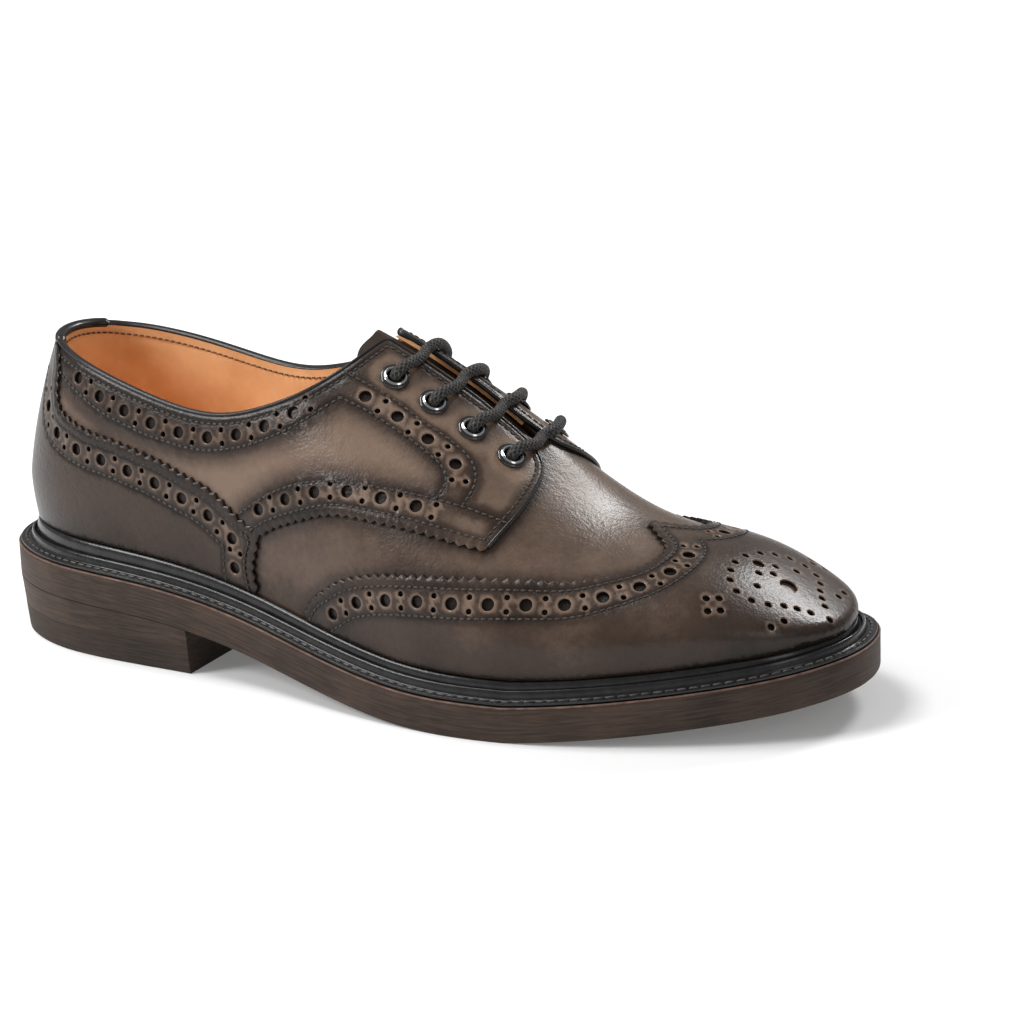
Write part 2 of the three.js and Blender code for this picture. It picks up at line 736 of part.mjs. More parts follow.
// A quarter runs from the backstay to its facing's round front, over the counter's edge
// and the facing's foot, up to the topline and the throat
function makeQuarter(inner) {
  const side = [
    ...stationsBetween(0, COUNTER_FRONT).slice(1),
    ...stationsBetween(COUNTER_FRONT, FACING_TURN).slice(1),
    ...stationsBetween(FACING_TURN, FACING_END).slice(1),
  ];
  const low = (angle) =>
    shareAt(angle) < COUNTER_FRONT - NUDGE ? COUNTER_TOP.at(-1).up : facingFoot(angle);
  const high = (angle) =>
    shareAt(angle) > FACING_FRONT[0].x ? Math.max(facingFront(angle), low(angle)) : 1;
  const stations = inner ? mirrored(side) : side;
  const whole = panel([{ stations, low, high, levels: PANEL_LEVELS }]);
  return whole.subtract(counterForm(CLEAR));
}

// The tongue lies under the facings, on the inner side of the wall
function makeTongue() {
  const side = stationsBetween(TONGUE_TOP, TONGUE_FOOT);
  const low = (angle) => {
    const along = (shareAt(angle) - TONGUE_TOP) / (TONGUE_FOOT - TONGUE_TOP);
    return upAtReach(angle, (TONGUE_WIDTH / 2) * (1 - TONGUE_TAPER * along));
  };
  const band = (stations) => ({ stations, low, high: () => 1, levels: spread(0, 1, 3) });
  const face = -WALL - CLEAR;
  const shape = cutter([band(side), band(mirrored(side))]);
  return piece(form(face - TONGUE_THICKNESS, face).intersect(shape));
}

// The fastening

const eyeletAngle = (i) =>
  angleAt(EYELET_FIRST + ((EYELET_LAST - EYELET_FIRST) * i) / (EYELET_PAIRS - 1));

// An eyelet's seat: its middle on the last and the direction that it faces
function eyeletSeat(i, inner) {
  const angle = inner ? 2 * Math.PI - eyeletAngle(i) : eyeletAngle(i);
  const up = upAtReach(angle, THROAT_GAP / 2 + EYELET_FROM_EDGE);
  return { middle: lastPoint(angle, up), normal: lastNormal(angle, up) };
}

function seated(geometry, { middle, normal }) {
  const turn = new THREE.Quaternion().setFromUnitVectors(new THREE.Vector3(0, 0, 1), normal);
  return geometry.clone().applyQuaternion(turn).translate(middle.x, middle.y, middle.z);
}

const BARREL_RADIUS = EYELET_BORE / 2 + EYELET_BARREL_WALL;
const FLANGE_FOOT = OVERLAY_OUTER + CLEAR;
const FLANGE_TOP = FLANGE_FOOT + EYELET_FLANGE_THICKNESS;

// The eyelet stands along Z on its seat: a barrel through the leather and a round flange
function makeEyelet() {
  const bore = EYELET_BORE / 2;
  const flange = EYELET_FLANGE / 2;
  const section = [
    [bore, -WALL + CLEAR],
    [BARREL_RADIUS, -WALL + CLEAR],
    [BARREL_RADIUS, FLANGE_FOOT],
    [flange, FLANGE_FOOT],
    [flange, FLANGE_FOOT + EYELET_FLANGE_THICKNESS / 2],
    [flange - EYELET_ROUND, FLANGE_TOP],
    [bore + EYELET_LIP, FLANGE_TOP],
    [bore, FLANGE_TOP - EYELET_LIP],
    [bore, -WALL + CLEAR],
  ].map(([r, z]) => new THREE.Vector2(r, z));
  const ring = new THREE.LatheGeometry(section, EYELET_SIDES);
  ring.rotateX(Math.PI / 2);
  ring.deleteAttribute("normal");
  ring.deleteAttribute("uv");
  return closedAlready(ring);
}

// Merges a lathe's or an extrusion's doubled corners and turns it to face out
function closedAlready(geometry) {
  const solid = solidOf(geometry);
  if (solid.volume() > 0) return geometryOf(solid);
  const merged = mergeVertices(geometry, SAME_PLACE);
  const index = Array.from(merged.index.array);
  for (let i = 0; i < index.length; i += 3) [index[i], index[i + 1]] = [index[i + 1], index[i]];
  merged.setIndex(index);
  return geometryOf(solidOf(merged));
}

// The holes that the barrels pass through
function punched(whole, seats) {
  const height = 2 * (WALL + OVERLAY + CUTTER_DEPTH);
  const punch = new THREE.CylinderGeometry(
    BARREL_RADIUS + CLEAR, BARREL_RADIUS + CLEAR, height, EYELET_SIDES,
  );
  punch.rotateX(Math.PI / 2);
  let solid = whole;
  for (const seat of seats) solid = solid.subtract(solidOf(seated(punch, seat)));
  return piece(solid);
}

// A bar of the lace rises out of one eyelet, over its flange and the throat, and goes
// down into the eyelet opposite. Its points lie on the last's cross section, at a distance
// from the eyelet's middle or from the ridge and a height over the leather.
function makeLaceBar(i) {
  const radius = LACE_DIAMETER / 2;
  const onFlange = FLANGE_TOP + CLEAR + radius;
  const onLeather = OVERLAY_OUTER + CLEAR + radius;
  const half = (angle) => {
    const seat = upAtReach(angle, THROAT_GAP / 2 + EYELET_FROM_EDGE);
    const place = (up, height) =>
      lastPoint(angle, up).addScaledVector(lastNormal(angle, up), height);
    const fromSeat = (distance, height) => place(upBy(angle, seat, distance), height);
    return [
      ...LACE_RISE.map(({ out, over }) => fromSeat(out, onFlange + over)),
      fromSeat(EYELET_FLANGE / 2 + 1, onLeather + LACE_OVER_FACING),
      place(upAtReach(angle, THROAT_GAP / 2 + 1), onLeather + LACE_OVER_EDGE),
    ];
  };
  const angle = eyeletAngle(i);
  const opposite = half(2 * Math.PI - angle).reverse();
  const crest = lastPoint(angle, 1);
  crest.z += onLeather + LACE_OVER_THROAT;
  const points = [...half(angle), crest, ...opposite];
  const path = new THREE.CatmullRomCurve3(points, false, "centripetal");
  const section = new THREE.Shape(
    spread(0, 2 * Math.PI, LACE_SIDES).slice(0, -1)
      .map((a) => new THREE.Vector2(radius * Math.cos(a), radius * Math.sin(a))),
  );
  const tube = new THREE.ExtrudeGeometry(section, {
    extrudePath: path,
    steps: LACE_STEPS,
    curveSegments: LACE_SIDES,
  });
  return closedAlready(tube);
}

// The finishes
const finish = (color, roughness, metalness = 0) =>
  new THREE.MeshStandardMaterial({ color, roughness, metalness });
const BROWN_LEATHER = finish(0x4a3d36, 0.4);
const DARK_LEATHER = finish(0x3a302b, 0.38);
const SOLE_EDGE = finish(0x43352f, 0.6);
const RUBBER = finish(0x3a322f, 0.75);
const WELT_BLACK = finish(0x1a1a1a, 0.3);
const TAN_LINING = finish(0xc47a42, 0.55);
const GUNMETAL = finish(0x55565a, 0.25, 0.9);
const LACE_CORD = finish(0x3c3c3c, 0.7);

const shoe = new THREE.Group();
function add(name, geometry, material) {
  const mesh = new THREE.Mesh(geometry, material);
  mesh.name = name;
  shoe.add(mesh);
}

const pairs = [...Array(EYELET_PAIRS).keys()];
const outerSeats = pairs.map((i) => eyeletSeat(i, false));
const innerSeats = pairs.map((i) => eyeletSeat(i, true));

add("outsole", makeOutsole(), SOLE_EDGE);
add("midsole", makeMidsole(), SOLE_EDGE);
add("heel_lift_upper", makeLift(upperLiftFoot, upperLiftTop), SOLE_EDGE);
add("heel_lift_lower", makeLift(lowerLiftFoot, lowerLiftTop), SOLE_EDGE);
add("heel_top_piece", makeLift(() => 0, topPieceTop), RUBBER);
add("storm_welt", makeWelt(), WELT_BLACK);
add("insole", makeInsole(), TAN_LINING);
add("upper", punched(form(-WALL, 0).subtract(OPENING), [...outerSeats, ...innerSeats]), BROWN_LEATHER);
add("wing_cap", makeWingCap(), DARK_LEATHER);
add("counter", makeCounter(), DARK_LEATHER);
add("quarter_outer", punched(makeQuarter(false), outerSeats), BROWN_LEATHER);
add("quarter_inner", punched(makeQuarter(true), innerSeats), BROWN_LEATHER);
add("tongue", makeTongue(), BROWN_LEATHER);
const eyelet = makeEyelet();
for (const i of pairs) {
  add(`eyelet_outer_${i + 1}`, seated(eyelet, outerSeats[i]), GUNMETAL);
  add(`eyelet_inner_${i + 1}`, seated(eyelet, innerSeats[i]), GUNMETAL);
  add(`lace_bar_${i + 1}`, makeLaceBar(i), LACE_CORD);
}

// The origin lies on the floor under the middle of the sole's length and width
const edgeSides = spread(0, 2 * Math.PI, 2 * RIBS).map((angle) => edgePoint(angle).point.y);
const middleSide = (Math.min(...edgeSides) + Math.max(...edgeSides)) / 2;
shoe.position.set(-SOLE_LENGTH / 2, -middleSide, 0);

const derby = new THREE.Group();
derby.add(shoe);
export default derby;
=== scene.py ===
"""The looks of a full brogue derby, one right shoe: burnished leather panels with pinked and
punched edges, their seams, the lining, the storm welt, the stacked sole, eyelets and laces.

Lengths are millimetres in the last's own frame: x from the heel's back to the toe, y to the
inner side, z up from the floor. A place on the last is an angle round the sole's edge (0 at
the heel, pi at the toe, beyond pi on the inner side) and a share up the rib that rises
there, from the feather (0) over the swell (0.2) to the ridge (1).
"""

import math

import bmesh
import bpy
import numpy as np
from mathutils import Matrix, Vector
from mathutils.geometry import delaunay_2d_cdt
from mathutils.kdtree import KDTree


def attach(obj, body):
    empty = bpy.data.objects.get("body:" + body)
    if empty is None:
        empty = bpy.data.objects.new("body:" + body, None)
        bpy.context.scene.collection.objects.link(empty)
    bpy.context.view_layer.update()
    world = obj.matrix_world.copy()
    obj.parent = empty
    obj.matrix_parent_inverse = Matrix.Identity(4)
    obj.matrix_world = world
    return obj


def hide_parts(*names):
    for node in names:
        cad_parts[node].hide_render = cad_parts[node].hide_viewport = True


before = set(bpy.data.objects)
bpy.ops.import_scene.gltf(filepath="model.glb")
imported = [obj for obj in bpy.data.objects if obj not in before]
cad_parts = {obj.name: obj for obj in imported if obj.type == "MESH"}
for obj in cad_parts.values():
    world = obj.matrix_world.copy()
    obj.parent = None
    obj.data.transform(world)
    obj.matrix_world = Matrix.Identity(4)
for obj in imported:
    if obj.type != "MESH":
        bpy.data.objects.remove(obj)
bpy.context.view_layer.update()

# Sizes of the last, the bottom and the leather
LENGTH = 306.0
BALL_WIDTH = 115.0
OUTSOLE = 6.1
MIDSOLE = 4.8
CLEAR = 0.3
SOLE = OUTSOLE + CLEAR + MIDSOLE
HEEL_RISE = 19.3
TOE_SPRING = 11.8
HEEL_LENGTH = 88.0
HEEL_TAPER = 1.6
TOP_PIECE = 9.3
LOWER_LIFT = 4.5
INSTEP = 103.0
BACK = 103.5
INNER_RAISE = 3.0
WALL = 2.2
WELT_WIDTH = 9.2
FEATHER = 6.5
SWELL = 2.0
SWELL_HEIGHT = 18.0
SWELL_AT = 0.2
FOOT_AT = -0.1
THROAT_GAP = 5.5
CORNER = 60  # how sharply the topline turns into the throat
EYELET_FROM_EDGE = 11.6
NUDGE = 1e-3
TURN = 2 * math.pi
MM = 0.001

# The sole's edge: share of the length, outer reach, inner reach
EDGE = np.array([
    (0, 0.013, -0.013), (0.016, 0.17, 0.143), (0.05, 0.265, 0.235), (0.11, 0.343, 0.3),
    (0.19, 0.376, 0.32), (0.28, 0.388, 0.3), (0.37, 0.41, 0.278), (0.46, 0.461, 0.283),
    (0.55, 0.506, 0.335), (0.64, 0.523, 0.413), (0.73, 0.489, 0.47), (0.81, 0.417, 0.477),
    (0.88, 0.33, 0.433), (0.94, 0.23, 0.352), (0.98, 0.113, 0.248), (1, -0.057, 0.057),
])
# Share of the length, share of the rise: the arch behind the ball and the toe spring ahead
ARCH = np.array([
    (0, 1), (0.15, 0.965), (0.27, 0.84), (0.39, 0.51), (0.5, 0.18), (0.57, 0.035), (0.62, 0),
])
TOE = np.array([(0.69, 0), (0.735, 0.1), (0.85, 0.42), (0.93, 0.71), (1, 1)])
# Share of the length, the rib's place on the ridge, welt's inset, swell, its height, feather
SIDE = np.array([
    (0, 0.17, 1.01, 0.75, 0.94, 1), (0.1, 0.19, 1, 0.95, 1, 0.98),
    (0.2, 0.245, 0.95, 0.8, 0.99, 0.95), (0.3, 0.315, 0.89, 0.5, 0.96, 0.91),
    (0.4, 0.4, 0.865, 0.35, 0.88, 0.84), (0.5, 0.5, 0.85, 0.3, 0.78, 0.77),
    (0.6, 0.6, 0.85, 0.45, 0.69, 0.74), (0.7, 0.7, 0.86, 0.6, 0.61, 0.72),
    (0.78, 0.772, 0.87, 0.65, 0.57, 0.71), (0.86, 0.825, 0.88, 0.65, 0.52, 0.7),
    (0.93, 0.86, 0.92, 0.6, 0.42, 0.65), (1, 0.885, 1.03, 0.5, 0.22, 0.54),
])
# Share of the length, sideways place, height, the two powers of the rib, the crown's lean
RIDGE = np.array([
    (0, -0.026, 1.35, 1.6, 1.2, 0), (0.2, -0.026, 1.32, 1.9, 1.3, 0),
    (0.35, -0.023, 1.212, 2.15, 1.7, 0.1), (0.43, -0.019, 1.12, 2.15, 1.88, 0.3),
    (0.5, -0.01, 1.025, 2, 1.8, 0.4), (0.58, 0.005, 0.883, 1.95, 1.78, 0.4),
    (0.66, 0.021, 0.715, 1.92, 1.75, 0.22), (0.74, 0.038, 0.547, 2, 1.87, 0.03),
    (0.8, 0.05, 0.488, 2.15, 2, 0), (0.86, 0.058, 0.45, 2.3, 2.1, 0),
    (0.92, 0.063, 0.379, 2.35, 2.1, 0), (1, 0.068, 0.291, 2.4, 2.1, 0),
])
# The topline: share of the length, share of the back's height
TOPLINE = np.array([
    (0.04, 1), (0.098, 0.966), (0.163, 0.918), (0.245, 0.857), (0.327, 0.834),
    (0.392, 0.884), (0.441, 0.952), (0.477, 1.053), (0.52, 1.3),
])
# The throat: share of the length at the ridge, share of its gap
THROAT = np.array([(0.4, 1), (0.56, 1), (0.6, 0.92), (0.63, 0.6), (0.648, 0)])

# Marks of the pattern: share of the length at the rib's angle, share up the rib
WING_EDGE = [
    (0.434, 0.042), (0.444, 0.112), (0.462, 0.191), (0.483, 0.245), (0.51, 0.29),
    (0.563, 0.349), (0.611, 0.394), (0.658, 0.444), (0.697, 0.492), (0.738, 0.545),
    (0.775, 0.633), (0.8, 0.714), (0.811, 0.8), (0.811, 0.882), (0.797, 0.929),
    (0.78, 0.965), (0.765, 1),
]
COUNTER_EDGE = [
    (0.369, 0.041), (0.366, 0.104), (0.369, 0.192), (0.373, 0.247), (0.355, 0.273),
    (0.335, 0.299), (0.309, 0.326), (0.282, 0.342), (0.256, 0.36), (0.216, 0.381),
    (0.184, 0.397), (0.149, 0.409), (0.111, 0.431), (0.086, 0.455), (0.074, 0.49),
    (0.067, 0.53),
]
FACING_FOOT = [
    (0.36, 0.225), (0.375, 0.255), (0.388, 0.28), (0.41, 0.314), (0.433, 0.346),
    (0.475, 0.406), (0.515, 0.443), (0.555, 0.473), (0.592, 0.498), (0.628, 0.521),
    (0.651, 0.54),
]
FACING_FRONT = [
    (0.651, 0.54), (0.66, 0.63), (0.665, 0.72), (0.665, 0.8), (0.662, 0.87),
    (0.653, 0.922), (0.636, 0.951), (0.615, 0.962), (0.595, 0.966),
]
FACING_STRIP = [
    (0.356, 0.297), (0.388, 0.358), (0.43, 0.421), (0.471, 0.474), (0.51, 0.516),
    (0.546, 0.551), (0.583, 0.586), (0.617, 0.617), (0.658, 0.645),
]
STAY_UPPER = [
    (0.458, 0.762), (0.48, 0.768), (0.514, 0.775), (0.546, 0.772), (0.573, 0.775),
    (0.594, 0.768), (0.607, 0.748), (0.616, 0.695), (0.614, 0.62),
]
STAY_LOWER = [
    (0.462, 0.682), (0.49, 0.694), (0.514, 0.697), (0.545, 0.698), (0.565, 0.694),
    (0.582, 0.683), (0.59, 0.648), (0.587, 0.596),
]
COLLAR_STRIP = [
    (0.073, 0.526), (0.127, 0.488), (0.163, 0.46), (0.196, 0.441), (0.225, 0.425),
    (0.253, 0.416), (0.281, 0.41), (0.307, 0.413), (0.333, 0.427), (0.358, 0.449),
    (0.396, 0.502), (0.424, 0.56), (0.462, 0.682),
]


def curve(x, y):
    """A smooth curve through marks: cubic pieces y0·h00 + m0·h10 + y1·h01 + m1·h11 whose
    slopes m are relaxed until the bend runs on from piece to piece; level beyond its ends."""
    x, y = np.asarray(x, float), np.asarray(y, float)
    step = np.diff(x)
    rise = np.diff(y) / step
    last = len(x) - 1
    slope = rise[np.minimum(np.arange(last + 1), last - 1)].copy()
    for _ in range(40):
        slope[0] = (3 * rise[0] - slope[1]) / 2
        for i in range(1, last):
            pull = 3 * (step[i] * rise[i - 1] + step[i - 1] * rise[i])
            rest = step[i] * slope[i - 1] + step[i - 1] * slope[i + 1]
            slope[i] = (pull - rest) / (2 * (step[i - 1] + step[i]))
        slope[last] = (3 * rise[last - 1] - slope[last - 1]) / 2

    def at(v):
        v = np.clip(v, x[0], x[-1])
        i = np.clip(np.searchsorted(x, v) - 1, 0, last - 1)
        t = (v - x[i]) / step[i]
        start = y[i] * (1 + 2 * t) * (1 - t) ** 2 + slope[i] * step[i] * t * (1 - t) ** 2
        end = y[i + 1] * t * t * (3 - 2 * t) + slope[i + 1] * step[i] * t * t * (t - 1)
        return start + end

    return at


def angle_at(share):
    """The angle at a share of the length: share = (1 - cos(angle)) / 2."""
    return np.arccos(1 - 2 * np.asarray(share, float))


def share_at(angle):
    return (1 - np.cos(angle)) / 2


def loop_of_edge():
    """The sole's edge as one smooth loop: sideways place against the angle, three turns."""
    marks = []
    for turn in (-1, 0, 1):
        marks += [(turn * TURN + angle_at(s), -outer) for s, outer, _ in EDGE]
        marks += [((turn + 1) * TURN - angle_at(s), inner) for s, _, inner in EDGE[-2:0:-1]]
    angle, side = np.array(marks).T
    return curve(angle, side)


edge_side = loop_of_edge()
arch_at = curve(*ARCH.T)
toe_at = curve(*TOE.T)
side_at = [curve(SIDE[:, 0], column) for column in SIDE.T[1:]]
ridge_at = [curve(RIDGE[:, 0], column) for column in RIDGE.T[1:]]
topline_at = curve(*TOPLINE.T)
throat_at = curve(*THROAT.T)


def underside(x):
    """Height of the sole's underside: the arch behind, flat at the ball, the toe spring."""
    share = np.asarray(x, float) / LENGTH
    back = np.maximum(0, HEEL_RISE * arch_at(share)) * (share < ARCH[-1, 0])
    front = np.maximum(0, TOE_SPRING * toe_at(share)) * (share > TOE[0, 0])
    return back + front


def edge_place(angle):
    """The plan place on the sole's edge."""
    angle = np.asarray(angle, float)
    return np.stack([share_at(angle) * LENGTH, edge_side(angle % TURN) * BALL_WIDTH], -1)


def edge_out(angle):
    """The plan direction out of the sole's edge."""
    along = edge_place(angle + NUDGE) - edge_place(angle - NUDGE)
    along /= np.linalg.norm(along, axis=-1, keepdims=True)
    return np.stack([along[..., 1], -along[..., 0]], -1)


def inset(angle, distance):
    """The sole's edge drawn in by a distance."""
    return edge_place(angle) - edge_out(angle) * np.asarray(distance)[..., None]


def rib_table(count):
    """Each rib's foot, widest place and ridge place, its heights, powers and lean."""
    angle = np.linspace(0, TURN, count, endpoint=False)
    share = share_at(angle)
    place, drawn, swell, wide, feather = [column(share) for column in side_at]
    foot = inset(angle, drawn * WELT_WIDTH)
    widest = foot + edge_out(angle) * (swell * SWELL)[:, None]
    side, _, round_, crown, tilt = [column(place) for column in ridge_at]
    floor = underside(foot[:, 0]) + SOLE
    foot_height = floor + feather * FEATHER
    lean = tilt * np.where(edge_side(angle) > 0, 1, -1)
    rows = [foot[:, 0], foot[:, 1], widest[:, 0], widest[:, 1], place * LENGTH,
            side * BALL_WIDTH, floor, foot_height, foot_height + wide * SWELL_HEIGHT,
            round_, crown, lean]
    return np.append(angle, TURN), np.array([np.append(row, row[0]) for row in rows])


RIB_ANGLE, RIB_ROWS = rib_table(5760)


def ribs(angle):
    """The rib table's columns at any angle."""
    angle = angle % TURN
    return [np.interp(angle, RIB_ANGLE, row) for row in RIB_ROWS]


def folded(angle, up):
    """A place past the ridge lies on the rib opposite."""
    past = up > 1
    return np.where(past, TURN - angle, angle), np.where(past, 2 - up, up)


def surf(angle, up):
    """A point of the last: straight below the feather, a quarter wave out to the swell, then
    a superellipse plan = ridge + (wide - ridge)·cos(t)^(2/round), rise = sin(t)^(2/crown)."""
    angle, up = np.broadcast_arrays(np.asarray(angle, float), np.asarray(up, float))
    angle, up = folded(angle, up)
    fx, fy, wx, wy, tx, ty, floor, foot_z, wide_z, round_, crown, lean = ribs(angle)
    low = np.clip(up / FOOT_AT, 0, None)
    mid = np.clip(up / SWELL_AT, 0, 1)
    out = np.sin(mid * math.pi / 2)
    t = np.clip((up - SWELL_AT) / (1 - SWELL_AT), 0, 1) * math.pi / 2
    reach = np.clip(np.cos(t), 0, None) ** (2 / round_)
    lift = np.sin(t) ** (2 / crown)
    high = up >= SWELL_AT
    x = np.where(high, tx + (wx - tx) * reach, fx + (wx - fx) * out)
    y = np.where(high, ty + (wy - ty) * reach, fy + (wy - fy) * out)
    crest = ridge_at[1](x / LENGTH) * INSTEP
    width = np.hypot(tx - wx, ty - wy)
    top_z = wide_z + (crest - wide_z) * lift + lean * width * reach * (1 - reach) ** 2
    side_z = foot_z + (wide_z - foot_z) * mid + (floor + CLEAR - foot_z) * low
    return np.stack([x, y, np.where(high, top_z, side_z)], -1)


def slopes(angle, up):
    """How far the last's surface moves per unit of angle and of share up the rib."""
    along = (surf(angle + NUDGE, up) - surf(angle - NUDGE, up)) / (2 * NUDGE)
    below = surf(angle, np.maximum(up - NUDGE, FOOT_AT * 2))
    return along, (surf(angle, up + NUDGE) - below) / (2 * NUDGE)


def unit(v):
    """Directions of length one."""
    return v / np.maximum(np.linalg.norm(v, axis=-1, keepdims=True), 1e-9)


def normal(angle, up):
    """The direction straight out of the last."""
    return unit(np.cross(*slopes(angle, up)))


def over(angle, up, height):
    """The point at a height over the last, along its normal."""
    return surf(angle, up) + normal(angle, up) * np.asarray(height)[..., None]


def settle(angle, up, target):
    """The place on the last nearest a target, by three steps of least squares."""
    angle, up = np.array(angle, float), np.array(up, float)
    for _ in range(3):
        along, climb = slopes(angle, up)
        miss = target - surf(angle, up)
        a, b, c = [(p * q).sum(-1) for p, q in ((along, along), (along, climb), (climb, climb))]
        p, q = (miss * along).sum(-1), (miss * climb).sum(-1)
        room = a * c - b * b + 1e-9
        angle += np.clip((c * p - b * q) / room, -0.1, 0.1)
        up += np.clip((a * q - b * p) / room, -0.1, 0.1)
    return angle, up


def cut_table(count):
    """How far up each rib the topline or the throat lets it run, the lower of the two with
    their corner rounded by a soft minimum."""
    angle = np.linspace(0, TURN, count)
    share, inner = share_at(angle), angle > math.pi

    def topline(x):
        along = np.clip((x / LENGTH - 0.1) / 0.35, 0, 1)
        return topline_at(x / LENGTH) * BACK + inner * INNER_RAISE * np.sin(math.pi * along)

    low, high = np.full(count, SWELL_AT), np.ones(count)
    top = surf(angle, high)
    open_ = top[:, 2] > topline(top[:, 0])
    for _ in range(26):
        middle = (low + high) / 2
        point = surf(angle, middle)
        above = point[:, 2] > topline(point[:, 0])
        high, low = np.where(above, middle, high), np.where(above, low, middle)
    line = np.where(open_, high, 1.4)
    ridge_share = side_at[0](share)
    throat = up_at_reach(angle, np.maximum(throat_at(ridge_share), 0) * THROAT_GAP / 2)
    closed = ridge_share >= THROAT[-1, 0]
    soft = -np.log(np.exp(-CORNER * line) + np.exp(-CORNER * throat)) / CORNER
    return angle, np.where(closed, 1.0, np.minimum(np.where(share > 0.4, soft, line), 1))


def up_at_reach(angle, distance):
    """The place up a rib at a plan distance from the ridge."""
    _, _, wx, wy, tx, ty, *_, round_, _, _ = ribs(angle)
    reach = np.clip(distance / np.hypot(tx - wx, ty - wy), 0, 1)
    return SWELL_AT + (1 - SWELL_AT) * np.arccos(reach ** (round_ / 2)) / (math.pi / 2)


CUT_ANGLE, CUT_UP = cut_table(2881)


def cut(angle):
    """How far up the rib at any angle the leather runs."""
    return np.interp(angle % TURN, CUT_ANGLE, CUT_UP)


# The last laid flat: from the ridge outwards, each rib at its true length
CHART_ANGLES, CHART_UPS = 721, 121


def chart_table():
    """The length of each rib from each of its levels to the ridge."""
    angle = np.linspace(0, TURN, CHART_ANGLES)
    up = np.linspace(FOOT_AT, 1, CHART_UPS)
    point = surf(angle[:, None], up[None, :])
    length = np.linalg.norm(np.diff(point, axis=1), axis=-1)
    return np.concatenate([np.cumsum(length[:, ::-1], 1)[:, ::-1], np.zeros((CHART_ANGLES, 1))], 1)


CHART = chart_table()


def chart(angle, up):
    """Flat place of a point: its rib's ridge point plus the rib's way times its length."""
    angle, up = folded(np.asarray(angle, float), np.asarray(up, float))
    angle = angle % TURN
    _, _, wx, wy, tx, ty, *_ = ribs(angle)
    i = angle / TURN * (CHART_ANGLES - 1)
    j = np.clip((up - FOOT_AT) / (1 - FOOT_AT), 0, 1) * (CHART_UPS - 1)
    i0 = np.clip(i.astype(int), 0, CHART_ANGLES - 2)
    j0 = np.clip(j.astype(int), 0, CHART_UPS - 2)
    p, q = i - i0, j - j0
    length = ((CHART[i0, j0] * (1 - p) + CHART[i0 + 1, j0] * p) * (1 - q)
              + (CHART[i0, j0 + 1] * (1 - p) + CHART[i0 + 1, j0 + 1] * p) * q)
    width = np.hypot(wx - tx, wy - ty)
    return np.stack([tx + (wx - tx) / width * length, ty + (wy - ty) / width * length], -1)


def running(points):
    """The distance of each point of a line from the line's start."""
    return np.append(0, np.cumsum(np.linalg.norm(np.diff(points, axis=0), axis=1)))


def even(angle, up, step):
    """A path with its points an even step apart along the leather."""
    length = running(surf(angle, up))
    at = np.linspace(0, length[-1], max(2, int(round(length[-1] / step)) + 1))
    return np.interp(at, length, angle), np.interp(at, length, up)


def trace(marks, inner=False, step=0.5):
    """A smooth path through marks on one side of the shoe."""
    share, up = np.array(marks, float).T
    angle = angle_at(share)
    length = running(surf(angle, up))
    at = np.linspace(0, length[-1], int(length[-1] * 4))
    angle, up = curve(length, angle)(at), curve(length, up)(at)
    return even(TURN - angle if inner else angle, up, step)


def across(path):
    """The direction to the left of a path, in the leather."""
    angle, up = path
    along = unit(np.gradient(surf(angle, up), axis=0))
    return unit(np.cross(normal(angle, up), along))


def beside(path, distance):
    """A path a distance to the left of another."""
    shift = across(path) * np.broadcast_to(distance, path[0].shape)[:, None]
    return settle(*path, surf(*path) + shift)


def joined(*paths):
    """Paths set end to end."""
    return np.concatenate([p[0] for p in paths]), np.concatenate([p[1] for p in paths])


def turned(path):
    """A path run backwards."""
    return path[0][::-1], path[1][::-1]


def stretch(path, start, end):
    """The part of a path between two distances from its start; a negative end counts back."""
    length = running(surf(*path))
    keep = (length >= start) & (length <= (length[-1] + end if end <= 0 else end))
    return path[0][keep], path[1][keep]


PINK_PITCH = 3.4
PINK_DEPTH = 1.25
PINK_STEP = 0.28


def pinked(path, side):
    """A path with teeth: it leaves to one side by a wave between a triangle and an arc."""
    angle, up = even(*path, PINK_STEP)
    length = np.arange(len(angle)) * PINK_STEP
    teeth = max(1, round(length[-1] / PINK_PITCH))
    phase = length / length[-1] * teeth % 1
    wave = (1 - np.abs(2 * phase - 1)) ** 0.8
    return beside((angle, up), side * PINK_DEPTH * wave)


def spot_frame(angle, up):
    """A place's point, two directions in the leather there and the one out of it."""
    angle, up = np.array([angle]), np.array([up])
    out = normal(angle, up)[0]
    along = unit(slopes(angle, up)[0])[0]
    return surf(angle, up)[0], along, np.cross(out, along), out


def ring(angle, up, radius, points=18):
    """A round hole about a place on the last."""
    middle, along, aside, _ = spot_frame(angle, up)
    turn = np.linspace(0, TURN, points, endpoint=False)[:, None]
    target = middle + radius * (np.cos(turn) * along + np.sin(turn) * aside)
    return settle(np.full(points, angle), np.full(points, up), target)


BIG_HOLE = 2.0
SMALL_HOLE = 0.9
HOLE_PITCH = 11.7
PAIR_SPREAD = 2.15
HOLE_BRIDGE = 0.6  # the least leather between two holes


